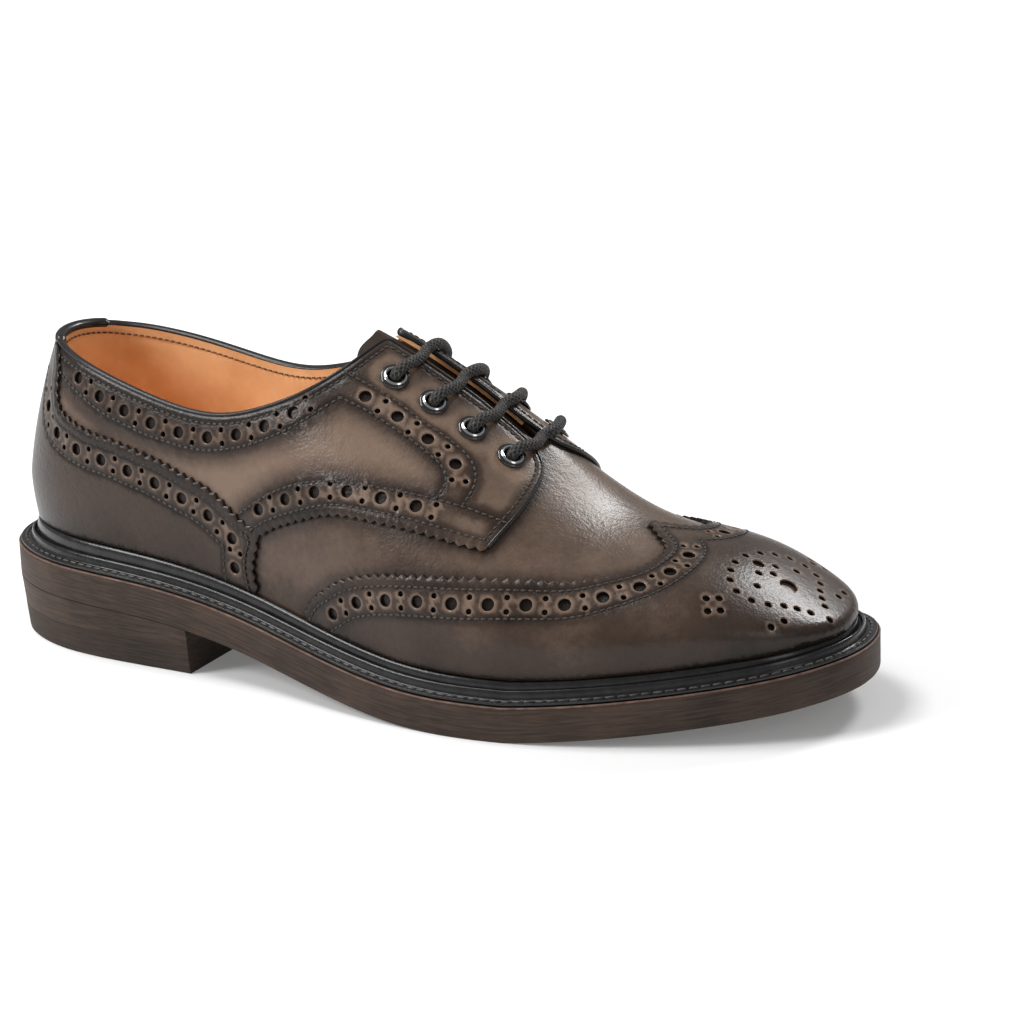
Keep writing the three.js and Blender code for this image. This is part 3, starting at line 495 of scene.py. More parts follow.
def punches(path, first=0.5):
    """Brogueing along a path: a big hole at each pitch and a pair of small ones between,
    where they keep clear of the holes already made."""
    length = running(surf(*path))
    count = max(1, int(round(length[-1] / HOLE_PITCH - first + 0.2)))
    pitch = length[-1] / (count + first)
    spots = [(path, (i + first) * pitch, BIG_HOLE) for i in range(count)]
    for side in (-1, 1):
        row = beside(path, side * PAIR_SPREAD)
        spots += [(row, (i + first - 0.5) * pitch, SMALL_HOLE) for i in range(count + 1)]
    holes, made = [], []
    for row, at, radius in spots:
        angle, up = np.interp(at, length, row[0]), np.interp(at, length, row[1])
        middle = surf(angle, up)
        clear = all(np.linalg.norm(middle - m) > radius + r + HOLE_BRIDGE for m, r in made)
        if radius == BIG_HOLE or (1.2 < at < length[-1] - 1.2 and clear):
            holes.append(ring(angle, up, radius, 18 if radius == BIG_HOLE else 12))
            made.append((middle, radius))
    return holes


def within(points, loops):
    """Which flat points lie inside an odd number of loops."""
    inside = np.zeros(len(points), bool)
    for loop in loops:
        low, high = loop.min(0), loop.max(0)
        near = np.nonzero(((points >= low) & (points <= high)).all(1))[0]
        if not len(near):
            continue
        p = points[near]
        a, b = loop, np.roll(loop, -1, 0)
        odd = np.zeros(len(near), bool)
        for k in range(0, len(a), 256):
            a_, b_ = a[k:k + 256], b[k:k + 256]
            cross = (a_[:, 1] > p[:, 1:2]) != (b_[:, 1] > p[:, 1:2])
            rise = np.where(b_[:, 1] == a_[:, 1], 1e-12, b_[:, 1] - a_[:, 1])
            x = a_[:, 0] + (p[:, 1:2] - a_[:, 1]) / rise * (b_[:, 0] - a_[:, 0])
            odd ^= (cross & (x > p[:, :1])).sum(1) % 2 == 1
        inside[near] ^= odd
    return inside


def nearest(points, targets):
    """Distance from each point to the nearest target, all flat or all in space."""
    points, targets = [np.pad(p, ((0, 0), (0, 3 - p.shape[1]))).tolist() for p in (points, targets)]
    tree = KDTree(len(targets))
    for i, target in enumerate(targets):
        tree.insert(target, i)
    tree.balance()
    return np.array([tree.find(point)[2] for point in points])


def clamp01(v):
    """Held between 0 and 1."""
    return np.clip(v, 0, 1)


def smooth(v):
    """0 to 1 by 3v² - 2v³."""
    v = clamp01(v)
    return v * v * (3 - 2 * v)


def grid_faces(rows, columns, close_rows=False, close_columns=False):
    """The quads of a grid of corners, counted row by row."""
    i = np.arange(rows if close_rows else rows - 1)
    j = np.arange(columns if close_columns else columns - 1)
    i, j = [v.ravel() for v in np.meshgrid(i, j, indexing="ij")]
    i2, j2 = (i + 1) % rows, (j + 1) % columns
    return np.stack([i * columns + j, i2 * columns + j, i2 * columns + j2, i * columns + j2], 1)


MIDDLE_SIDE = edge_place(np.linspace(0, TURN, 49))[:, 1]
SHIFT = np.array([-LENGTH / 2, -(MIDDLE_SIDE.min() + MIDDLE_SIDE.max()) / 2, 0])


def piece(name, points, faces, materials, replaces=(), face_slots=None, tone=None,
          uv=None, sharp=38, weld=False):
    """A finished piece at the origin: its mesh, attributes, materials, body and slot."""
    mesh = bpy.data.meshes.new(name)
    mesh.from_pydata(((points + SHIFT) * MM).tolist(), [], [list(f) for f in faces])
    for finish in materials:
        mesh.materials.append(finish)
    if face_slots is not None:
        mesh.polygons.foreach_set("material_index", np.asarray(face_slots, np.int32))
    if tone is not None:
        mesh.attributes.new("tone", "FLOAT", "POINT").data.foreach_set(
            "value", np.asarray(tone, np.float32))
    if uv is not None:
        corner = np.zeros(len(mesh.loops), np.int32)
        mesh.loops.foreach_get("vertex_index", corner)
        layer = mesh.uv_layers.new(name="UVMap")
        layer.data.foreach_set("uv", np.asarray(uv, np.float32)[corner].ravel())
    if weld:
        work = bmesh.new()
        work.from_mesh(mesh)
        bmesh.ops.remove_doubles(work, verts=work.verts, dist=2e-6)
        work.to_mesh(mesh)
        work.free()
    mesh.validate()
    mesh.shade_smooth()
    mesh.set_sharp_from_angle(angle=math.radians(sharp))
    item = bpy.data.objects.new(name, mesh)
    bpy.context.scene.collection.objects.link(item)
    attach(item, "root")
    if replaces:
        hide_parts(*replaces)
    return item


# Materials


def material(name):
    """A new material with its nodes, links and shader."""
    made = bpy.data.materials.new(name)
    made.use_nodes = True
    nodes = made.node_tree.nodes
    return made, nodes, made.node_tree.links, nodes["Principled BSDF"]


def noise(nodes, links, source, scale, detail=4, roughness=0.6, squeeze=None):
    """A noise on the given coordinates, squeezed along the axes first where asked."""
    if squeeze:
        mapping = nodes.new("ShaderNodeMapping")
        mapping.inputs["Scale"].default_value = squeeze
        links.new(source, mapping.inputs["Vector"])
        source = mapping.outputs["Vector"]
    node = nodes.new("ShaderNodeTexNoise")
    node.inputs["Scale"].default_value = scale
    node.inputs["Detail"].default_value = detail
    node.inputs["Roughness"].default_value = roughness
    links.new(source, node.inputs["Vector"])
    return node.outputs["Fac"]


def ramp(nodes, links, value, stops):
    """The colour of a value between stops of (place, colour)."""
    node = nodes.new("ShaderNodeValToRGB")
    stops = [(at, (*colour, 1)) for at, colour in stops]
    node.color_ramp.elements[0].position, node.color_ramp.elements[0].color = stops[0]
    node.color_ramp.elements[1].position, node.color_ramp.elements[1].color = stops[-1]
    for at, colour in stops[1:-1]:
        node.color_ramp.elements.new(at).color = colour
    links.new(value, node.inputs["Fac"])
    return node.outputs["Color"]


def sums(nodes, links, first, second, weight=1.0, offset=0.0):
    """first + weight·second + offset"""
    scaled = nodes.new("ShaderNodeMath")
    scaled.operation = "MULTIPLY_ADD"
    links.new(second, scaled.inputs[0])
    scaled.inputs[1].default_value = weight
    scaled.inputs[2].default_value = offset
    total = nodes.new("ShaderNodeMath")
    total.operation = "ADD"
    links.new(first, total.inputs[0])
    links.new(scaled.outputs[0], total.inputs[1])
    return total.outputs[0]


def bumped(nodes, links, shader, height, distance):
    """Raise a shader's surface by a height, a distance in millimetres for each unit."""
    bump = nodes.new("ShaderNodeBump")
    bump.inputs["Distance"].default_value = distance * MM
    links.new(height, bump.inputs["Height"])
    links.new(bump.outputs["Normal"], shader.inputs["Normal"])


def object_coordinates(nodes):
    """Where a point lies on the object, for the noises."""
    return nodes.new("ShaderNodeTexCoord").outputs["Object"]


def make_leather(name, dark, middle, light, rough, grain=0.1):
    """Burnished calf: the tone of each place, mottled by two noises, chooses between the
    dark polish and the light crust; fine grain and soft creases are raised as a bump. The
    tone holds the burnish together with painted shade in grooves, holes and beside panel
    edges, and painted highlight in the quarters' fields and round the holes."""
    made, nodes, links, shader = material(name)
    place = object_coordinates(nodes)
    tone = nodes.new("ShaderNodeAttribute")
    tone.attribute_name = "tone"
    mottle = noise(nodes, links, place, 38, 6, 0.62)
    fine = noise(nodes, links, place, 420, 4, 0.65)
    value = sums(nodes, links, tone.outputs["Fac"], mottle, 0.55, -0.275)
    value = sums(nodes, links, value, fine, 0.22, -0.11)
    colour = ramp(nodes, links, value, [(0.08, dark), (0.5, middle), (0.95, light)])
    links.new(colour, shader.inputs["Base Color"])
    creases = noise(nodes, links, place, 380, 3, 0.5, (1, 1, 1.5))
    pores = nodes.new("ShaderNodeTexVoronoi")
    pores.inputs["Scale"].default_value = 1100
    links.new(place, pores.inputs["Vector"])
    height = sums(nodes, links, creases, pores.outputs["Distance"], 0.35)
    bumped(nodes, links, shader, height, grain)
    gloss = nodes.new("ShaderNodeMapRange")
    gloss.inputs["To Min"].default_value = rough - 0.09
    gloss.inputs["To Max"].default_value = rough + 0.12
    links.new(mottle, gloss.inputs["Value"])
    links.new(gloss.outputs["Result"], shader.inputs["Roughness"])
    shader.inputs["Specular IOR Level"].default_value = 0.27
    shader.inputs["Coat Weight"].default_value = 0.03
    shader.inputs["Coat Roughness"].default_value = 0.22
    return made


def make_plain(name, colours, rough, grain, scale, metallic=0.0, coat=0.0, squeeze=None):
    """A finish whose colour wanders between two by a noise that also raises its grain."""
    made, nodes, links, shader = material(name)
    place = object_coordinates(nodes)
    value = noise(nodes, links, place, scale, 5, 0.6, squeeze)
    links.new(ramp(nodes, links, value, [(0.3, colours[0]), (0.7, colours[1])]),
              shader.inputs["Base Color"])
    bumped(nodes, links, shader, noise(nodes, links, place, scale * 4, 3), grain)
    shader.inputs["Roughness"].default_value = rough
    shader.inputs["Specular IOR Level"].default_value = 0.5 if metallic else 0.3
    shader.inputs["Metallic"].default_value = metallic
    shader.inputs["Coat Weight"].default_value = coat
    return made


def make_sole_edge(name, dark, light, rough):
    """Stacked leather: fibres run along the edge, so the noise is long along U and short
    up V, with a slow wander in tone."""
    made, nodes, links, shader = material(name)
    uv = nodes.new("ShaderNodeTexCoord").outputs["UV"]
    streaks = noise(nodes, links, uv, 6, 8, 0.7, (1.2, 22, 1))
    wander = noise(nodes, links, object_coordinates(nodes), 30, 3)
    value = sums(nodes, links, streaks, wander, 0.6, -0.3)
    links.new(ramp(nodes, links, value, [(0.28, dark), (0.72, light)]), shader.inputs["Base Color"])
    bumped(nodes, links, shader, streaks, 0.12)
    shader.inputs["Specular IOR Level"].default_value = 0.3
    shader.inputs["Roughness"].default_value = rough
    return made


BROWN = make_leather("burnished_brown_calf", (0.012, 0.0075, 0.0055), (0.052, 0.033, 0.024),
                     (0.18, 0.122, 0.088), 0.32, 0.13)
EDGE_BLACK = make_plain("inked_leather_edge", [(0.008, 0.007, 0.007), (0.02, 0.017, 0.016)],
                        0.32, 0.05, 300, coat=0.1)
# The welt's thread is black; its dark grey here is a painted highlight for the thread's glints.
WELT_THREAD = make_plain("welt_thread", [(0.03, 0.028, 0.026), (0.12, 0.11, 0.1)],
                         0.4, 0.05, 400)
THREAD = make_plain("waxed_thread", [(0.018, 0.013, 0.01), (0.09, 0.07, 0.058)],
                    0.5, 0.03, 900)
LINING_THREAD = make_plain("lining_thread", [(0.1, 0.04, 0.018), (0.16, 0.07, 0.03)],
                           0.6, 0.03, 900)
LINING = make_plain("tan_lining", [(0.76, 0.39, 0.17), (0.97, 0.6, 0.31)], 0.5, 0.05, 45)
WELT_BLACK = make_plain("storm_welt_black", [(0.009, 0.009, 0.009), (0.022, 0.022, 0.022)],
                        0.26, 0.06, 220, coat=0.1)
SOLE_EDGE = make_sole_edge("sole_edge_brown", (0.012, 0.0075, 0.005), (0.075, 0.045, 0.031), 0.62)
SOLE_CORNER = make_plain("worn_sole_corner", [(0.06, 0.028, 0.018), (0.18, 0.11, 0.085)], 0.5,
                         0.05, 260)
HEEL_RUBBER = make_sole_edge("heel_rubber", (0.012, 0.008, 0.006), (0.05, 0.032, 0.023), 0.68)
NICKEL = make_plain("eyelet_nickel", [(0.55, 0.55, 0.56), (0.68, 0.68, 0.69)], 0.2, 0.0, 80,
                    metallic=1.0)
EYELET_BLACK = make_plain("eyelet_black", [(0.012, 0.012, 0.013), (0.03, 0.03, 0.032)], 0.22,
                          0.0, 80, metallic=0.4, coat=0.5)


def make_lace_material():
    """Braided waxed cotton: light flecks, with the weave's ridges lighter as a painted highlight.
    """
    made, nodes, links, shader = material("waxed_lace")
    tone = nodes.new("ShaderNodeAttribute")
    tone.attribute_name = "tone"
    place = object_coordinates(nodes)
    fine = noise(nodes, links, place, 900, 4, 0.7)
    value = sums(nodes, links, tone.outputs["Fac"], fine, 0.9, -0.45)
    colour = ramp(nodes, links, value, [(0.2, (0.008, 0.008, 0.008)), (0.65, (0.022, 0.021, 0.02)),
                                        (1.0, (0.13, 0.12, 0.11))])
    links.new(colour, shader.inputs["Base Color"])
    shader.inputs["Roughness"].default_value = 0.62
    shader.inputs["Specular IOR Level"].default_value = 0.25
    bumped(nodes, links, shader, fine, 0.06)
    return made


LACE = make_lace_material()

# Leather panels

TOP = 1.4
GROOVE = 0.2
GROOVE_LIP = 0.75  # from a row of stitches to the lips of its groove
EDGE_ROUND = 0.42  # how far in the face of a panel starts to be rounded down to its edge
HOLE_ROUND = 0.3
EDGE_DROP = 0.28
HOLE_RIM = 0.6  # how much lighter the leather is round each hole: partly the punched edge's light crust, partly a painted highlight on its rim
panel_outlines = []


def shoulders_of(loops, flat):
    """The line where the rounding of each edge begins, just inside the outline and just
    outside each hole, and which of its places are on the leather."""
    lines = []
    for k, (loop, drawn) in enumerate(zip(loops, flat)):
        x, y = drawn.T
        area = (x * np.roll(y, -1) - np.roll(x, -1) * y).sum()
        point = surf(*loop)
        along = unit(np.roll(point, -1, 0) - np.roll(point, 1, 0))
        left = unit(np.cross(normal(*loop), along))
        way = math.copysign(1, area) * (-1 if k else 1)
        lines.append(settle(*loop, point + left * way * (HOLE_ROUND if k else EDGE_ROUND)))
    shoulder = joined(*lines)
    kept = within(chart(*shoulder), flat)
    return (shoulder[0][kept], shoulder[1][kept]), kept


def groove_places(rows):
    """Places along each row of stitches and on both lips of its groove, with their rise."""
    places, rises = [], []
    for row in rows:
        path = even(*row, 1.1)
        for side, rise in ((0, -GROOVE), (-GROOVE_LIP, 0.03), (GROOVE_LIP, 0.03)):
            places.append(beside(path, side) if side else path)
            rises.append(np.full(len(path[0]), rise))
    return joined(*places), np.concatenate(rises)


def grid_inside(outline, flat, spacing):
    """A place in each square of the chart that lies on the panel."""
    turns = np.unwrap(outline[0])
    angle, up = np.meshgrid(np.linspace(turns.min(), turns.max(), 520), np.linspace(0, 1, 150),
                            indexing="ij")
    cell = np.floor(chart(angle, up) / spacing).astype(int)
    _, first = np.unique((cell[..., 0] * 100003 + cell[..., 1]).ravel(), return_index=True)
    angle, up = angle.ravel()[first], up.ravel()[first]
    keep = within(chart(angle, up), flat)
    return angle[keep], up[keep]


def triangulated(flat_places, loops, flat):
    """A constrained Delaunay triangulation of the places, without what lies off the panel."""
    edges, start = [], 0
    for loop in loops:
        count = len(loop[0])
        edges += [(start + i, start + (i + 1) % count) for i in range(count)]
        start += count
    result = delaunay_2d_cdt([Vector(p) for p in flat_places.tolist()], edges, [], 0, 1e-5)
    corners = np.array([tuple(v) for v in result[0]])
    origin = np.array([ids[0] if ids else -1 for ids in result[3]])
    triangles = np.array([f for f in result[2] if len(f) == 3])
    triangles = triangles[(origin[triangles] >= 0).all(1)]
    triangles = origin[triangles[within(corners[triangles].mean(1), flat)]]
    a, b, c = triangles.T
    return triangles[(a != b) & (b != c) & (c != a)]


def leather_panel(name, outline, holes, rows, replaces, height, tone, spacing):
    """A panel cut flat and laid on the last. Its flat outline, holes and a grid of places
    inside are joined by a constrained triangulation; its face stands at height(place), dips
    along each row of stitches and is rounded over its edges. It is darker along the rows, a
    painted shade in their grooves, and towards the edges, and lighter round each hole, partly
    the punched edge's crust and partly a painted highlight on its rim."""
    loops = [outline] + list(holes)
    flat = [chart(*loop) for loop in loops]
    panel_outlines.append(flat[0])
    border, border_flat = joined(*loops), np.concatenate(flat)
    edge_count = len(border_flat)
    shoulder, kept = shoulders_of(loops, flat)
    grooves, rises = groove_places(rows)
    grid = grid_inside(outline, flat, spacing)
    clear = nearest(chart(*grid), chart(*joined(border, shoulder, grooves))) > spacing * 0.55
    grid = grid[0][clear], grid[1][clear]
    grooves_flat = chart(*grooves)
    good = within(grooves_flat, flat) & (nearest(grooves_flat, border_flat) > 0.55)
    grooves, rises = (grooves[0][good], grooves[1][good]), rises[good]
    places = joined(border, shoulder, grooves, grid)
    flat_places = chart(*places)
    triangles = triangulated(flat_places, loops, flat)

    count = len(flat_places)
    rise = np.zeros(count)
    rise[:edge_count] = -EDGE_DROP
    first_groove = edge_count + len(shoulder[0])
    rise[first_groove:first_groove + len(rises)] = rises
    level = height(*places, flat_places)
    points = np.concatenate([over(*places, level + rise),
                             over(*places, np.minimum(level - 1.1, 0.25))])
    directed = dict.fromkeys((p, q) for a, b, c in triangles.tolist()
                             for p, q in ((a, b), (b, c), (c, a)))
    walls = [(p, p + count, q + count, q) for p, q in directed if (q, p) not in directed]
    faces = triangles.tolist() + (triangles[:, ::-1] + count).tolist() + walls
    slots = [0] * len(triangles) + [1] * (len(triangles) + len(walls))

    distance = nearest(flat_places, border_flat)
    distance[:edge_count] = 0
    shade = tone(*places, flat_places)
    # Painted shade: darker in the groove along each row of stitches.
    shade = shade - 0.3 * np.exp(-nearest(flat_places, chart(*grooves)) ** 2)
    shade = shade - 0.22 * np.exp(-(distance / 1.4) ** 2)
    # Lighter round each hole: partly the punched edge's crust, partly a painted highlight on its
    # rim.
    hole_rim = np.concatenate([np.full(len(loop[0]), k > 0) for k, loop in enumerate(loops)] * 2)
    hole_rim = hole_rim[np.append(np.ones(edge_count, bool), kept)]
    shade[:len(hole_rim)] += HOLE_RIM * hole_rim
    piece(name, points, faces, [BROWN, EDGE_BLACK], replaces, slots,
          np.concatenate([shade, shade]))


STITCH_PITCH, STITCH_LENGTH, STITCH_WIDTH = 2.3, 1.8, 0.72
SPINDLE = np.array([-1, -0.8, -0.3, 0.3, 0.8, 1])
SPINDLE_SIDES = 6


def spindles(middle, along, up_way, length, width):
    """A stitch at each place: a spindle width·sqrt(1 - |s|³) thick along its length."""
    side = unit(np.cross(up_way, along))
    turn = np.linspace(0, TURN, SPINDLE_SIDES, endpoint=False)
    radius = np.sqrt(1 - np.abs(SPINDLE) ** 3)[:, None] * width / 2
    x = np.repeat(SPINDLE * length / 2, SPINDLE_SIDES)[:, None]
    y, z = [(radius * wave(turn)).reshape(-1, 1) for wave in (np.cos, np.sin)]
    points = middle[:, None] + along[:, None] * x + side[:, None] * y + up_way[:, None] * z
    faces = grid_faces(len(SPINDLE), SPINDLE_SIDES, False, True)[:, ::-1]
    faces = faces + (np.arange(len(middle)) * len(x))[:, None, None]
    return points.reshape(-1, 3), faces.reshape(-1, 4)


def stitches(name, rows, thread=THREAD):
    """Rows of stitches, each row at its own height over the last, half sunk."""
    points, faces, count = [], [], 0
    for row, level in rows:
        angle, up = even(*row, STITCH_PITCH)
        middle = over(angle, up, np.full(len(angle), level))
        made, quads = spindles(middle, unit(np.gradient(middle, axis=0)), normal(angle, up),
                               STITCH_LENGTH, STITCH_WIDTH)
        points.append(made)
        faces.append(quads + count)
        count += len(made)
    piece(name, np.concatenate(points), np.concatenate(faces), [thread], sharp=180,
          weld=True)


def overlay_foot(angle):
    """An overlay starts just over the welt's bead."""
    wide = side_at[3](share_at(angle))
    return SWELL_AT * 2.3 / (wide * SWELL_HEIGHT)


def foot_path(start, end):
    """The overlays' foot between two angles."""
    angle = np.linspace(start, end, 900)
    return even(angle, overlay_foot(angle), 0.6)


SIDES = ((False, 1), (True, -1))  # outer and inner: whether inner, and which way is inwards

# The wing cap: both wings, the toe and the peak
wing_side = {inner: trace(WING_EDGE, inner, 0.4) for inner, _ in SIDES}
wing_out, wing_in = wing_side[False], wing_side[True]
wing_outline = joined(
    stretch(pinked(wing_out, 1), 0, -0.3),
    stretch(turned(pinked(wing_in, -1)), 0.3, 0),
    stretch(foot_path(wing_in[0][0], wing_out[0][0]), 0.4, -0.4),
)
MARGIN = 2.6  # from a pinked edge to its row of stitches
STRIP = 8.9  # from there to the punched strip's other row


def clipped(path):
    """The part of a path that stays on its own side of the ridge and above the welt."""
    good = (path[1] < 0.997) & (path[1] > overlay_foot(path[0]) + 0.012)
    first, last = np.nonzero(good)[0][[0, -1]]
    return path[0][first:last + 1], path[1][first:last + 1]


wing_rows, wing_holes = [], []
for inner, turn in SIDES:
    upper = clipped(beside(wing_side[inner], -turn * MARGIN))
    lower = clipped(even(*beside(wing_side[inner], -turn * (MARGIN + STRIP)), 0.5))
    wing_rows += [upper, lower]
    middle = clipped(beside(wing_side[inner], -turn * (MARGIN + STRIP / 2)))
    wing_holes += punches(stretch(even(*middle, 0.5), 1, -3))

# The toe's medallion: a big hole, a lobed ring of small ones about it and, on each side, a
# cluster of four. Turn and reach are measured from the toe's own axis.
MEDALLION = (280.0, 2.2)
MEDALLION_HOLES = 1.28  # its holes against the brogueing's
MEDALLION_AXIS = math.radians(-12)
LOBES = [(0, 15), (20, 11.4), (41, 10.2), (63, 11), (81, 14.2), (95, 17.4), (109, 19.4),
         (123, 19), (138, 17.6), (156, 16.4), (180, 15.8)]


def toe_place(x, y):
    """The place on the last over a plan point of the toe."""
    ridge = ridge_at[0](x / LENGTH) * BALL_WIDTH
    angle = np.array([2.6 if y < ridge else TURN - 2.6])
    up = np.array([0.8])
    for _ in range(12):
        along, climb = slopes(angle, up)
        miss = np.array([x, y]) - surf(angle, up)[0, :2]
        step = np.linalg.lstsq(np.stack([along[0, :2], climb[0, :2]], 1), miss, rcond=None)[0]
        angle += np.clip(step[0], -0.2, 0.2)
        up = np.clip(up + np.clip(step[1], -0.15, 0.15), 0.25, 1.1)
    return float(angle[0]), float(up[0])


def medallion():
    """The medallion's holes, from turns in degrees and reaches in millimetres."""
    spots = [(0, 0, 2.25), (150, 9, SMALL_HOLE), (-150, 9, SMALL_HOLE), (180, 5.6, SMALL_HOLE),
             (112, 11.4, SMALL_HOLE), (-112, 11.4, SMALL_HOLE), (180, 11, 1.5),
             (60, 17, SMALL_HOLE), (-60, 17, SMALL_HOLE), (-70, 21, SMALL_HOLE),
             (70, 21, SMALL_HOLE)]
    for turn, reach in LOBES:
        for side in ((1,) if turn in (0, 180) else (1, -1)):
            spots.append((side * turn, reach, SMALL_HOLE))
    for side in (1, -1):
        for across_, out in ((-2.6, 0), (2.6, 0), (0, -2.9), (0, 2.9)):
            x = 29 * math.cos(math.radians(106)) + across_
            y = 29 * math.sin(math.radians(106)) + out
            spots.append((side * math.degrees(math.atan2(y, x)), math.hypot(x, y), SMALL_HOLE))
    holes = []
    for turn, reach, radius in spots:
        way = math.radians(turn) + MEDALLION_AXIS
        spot = toe_place(MEDALLION[0] + reach * math.cos(way),
                         MEDALLION[1] + reach * math.sin(way))
        holes.append(ring(*spot, radius * MEDALLION_HOLES, 16))
    return holes


def wing_tone(angle, up, flat):
    """Darkest at the toe's tip and along the foot, lighter over the wings' middle, with a
    slow wander."""
    share = share_at(angle)
    base = 0.42 - 0.2 * smooth((share - 0.8) / 0.12) + 0.14 * smooth((up - 0.12) / 0.25)
    return base - 0.15 * smooth((0.14 - up) / 0.14) + 0.05 * np.sin(share * 60)


def wing_height(angle, up, flat):
    """The wing cap lies evenly on the vamp."""
    return np.full(len(angle), TOP)


leather_panel("wing_cap_leather", wing_outline, wing_holes + medallion(), wing_rows,
              ["wing_cap"], wing_height, wing_tone, 1.25)


def row_beside(path, distance):
    """A row beside a path, without the loop that a tight corner would give it."""
    row = beside(path, distance)
    good = nearest(surf(*row), surf(*path)) > abs(distance) * 0.97
    return row[0][good], row[1][good]


# The counter with its backstay
counter_side = {inner: trace(COUNTER_EDGE, inner, 0.4) for inner, _ in SIDES}


def rim_path(start, end, below=0.0, step=0.5):
    """Along the topline between two angles, a distance below it."""
    angle = np.linspace(start, end, 1200)
    up = cut(angle)
    path = even(angle, up, step)
    return beside(path, below) if below else path


def back_of(inner):
    """The backstay's side from the counter's pinked edge to the topline."""
    side = counter_side[inner]
    t = np.linspace(0, 1, 60)
    angles = angle_at(share_at(side[0][-1]) * (1 - t) + 0.055 * t)
    angles = TURN - angles if inner else angles
    ups = side[1][-1] * (1 - t) + (cut(angles) - 0.012) * t
    return even(angles, ups, 0.4)


counter_path = {inner: even(*joined(counter_side[inner], stretch(back_of(inner), 0.3, 0)), 0.4)
                for inner, _ in SIDES}
outer_back, inner_back = counter_path[False], counter_path[True]
counter_outline = joined(
    pinked(outer_back, -1),
    stretch(rim_path(outer_back[0][-1], inner_back[0][-1] - TURN, 1.2), 0.6, -0.6),
    turned(pinked(inner_back, 1)),
    stretch(foot_path(inner_back[0][0] - TURN, outer_back[0][0]), 0.4, -0.4),
)


def short_of(path, share):
    """The part of a path up to where it comes nearer to the heel than a share."""
    stop = np.nonzero(share_at(path[0]) < share)[0]
    return (path[0][:stop[0]], path[1][:stop[0]]) if len(stop) else path


counter_rows, counter_holes = [], []
for inner, turn in SIDES:
    path = counter_path[inner]
    strip = clipped(row_beside(path, turn * (MARGIN + STRIP)))
    band = clipped(row_beside(path, turn * (MARGIN + STRIP / 2)))
    counter_rows += [clipped(beside(path, turn * MARGIN)), even(*short_of(strip, 0.02), 0.5)]
    counter_holes += punches(stretch(even(*short_of(band, 0.04), 0.5), 1, -1), 0.3)


def counter_tone(angle, up, flat):
    """Dark at the back and along the foot, lighter over the sides' middle."""
    share = share_at(angle)
    return 0.22 + 0.2 * smooth((share - 0.03) / 0.15) - 0.12 * smooth((0.2 - up) / 0.2)


COUNTER_OVER = 0.7  # how far the counter's edge stands over the quarter beneath it
counter_edge_flat = np.concatenate([chart(*counter_path[inner]) for inner, _ in SIDES])


def counter_height(angle, up, flat):
    """The counter rises over the quarter within 9 mm of its edge."""
    near = nearest(flat, counter_edge_flat)
    share = share_at(angle)
    quarter = smooth((0.372 - share) / 0.03) * smooth((up - 0.2) / 0.08)
    return TOP + COUNTER_OVER * quarter * smooth((9 - near) / 8)


leather_panel("counter_leather", counter_outline, counter_holes, counter_rows,
              ["counter"], counter_height, counter_tone, 1.5)

# The quarters with their facings
EYELETS = 4
EYELET_FIRST, EYELET_LAST = 0.503, 0.631
eyelet_share = np.linspace(EYELET_FIRST, EYELET_LAST, EYELETS)
BARREL_HOLE = 3.3
FRONT_TOP = 0.585  # share of the length where a facing's front runs into the throat
STAY_MIDDLE = [
    (0.462, 0.726), (0.49, 0.732), (0.514, 0.736), (0.545, 0.735), (0.5715, 0.733),
    (0.5895, 0.7225), (0.599, 0.695), (0.602, 0.645), (0.6005, 0.6125),
]


def side_name(inner):
    """The side as the pieces' names have it."""
    return "inner" if inner else "outer"


def eyelet_place(i, inner):
    """The angle and share up of an eyelet's middle."""
    angle = angle_at(eyelet_share[i])
    angle = TURN - angle if inner else angle
    up = up_at_reach(np.array([angle]), THROAT_GAP / 2 + EYELET_FROM_EDGE)
    return float(angle), float(up[0])


def under_counter(inner, turn):
    """The quarter's back edge, a little way in under the counter, from the topline down."""
    under = beside(counter_path[inner], turn * 3.4)
    first = np.nonzero((under[1] > 0.26) & (share_at(under[0]) < 0.36))[0][0]
    under = turned((under[0][first:], under[1][first:]))
    return stretch(even(*under, 0.6), 3, -1)


def quarter_holes(inner, turn, foot, collar_strip):
    """Brogueing over the facing's foot, round the eyelets' stay and below the collar, and the
    holes for the eyelets' barrels."""
    holes = punches(stretch(clipped(beside(foot, turn * (MARGIN + STRIP / 2))), 4, -13))
    holes += punches(stretch(trace(STAY_MIDDLE, inner), 1, -0.5))
    holes += punches(stretch(beside(collar_strip, turn * STRIP / 2 * 0.92), 3, -4))
    return holes + [ring(*eyelet_place(i, inner), BARREL_HOLE, 24) for i in range(EYELETS)]


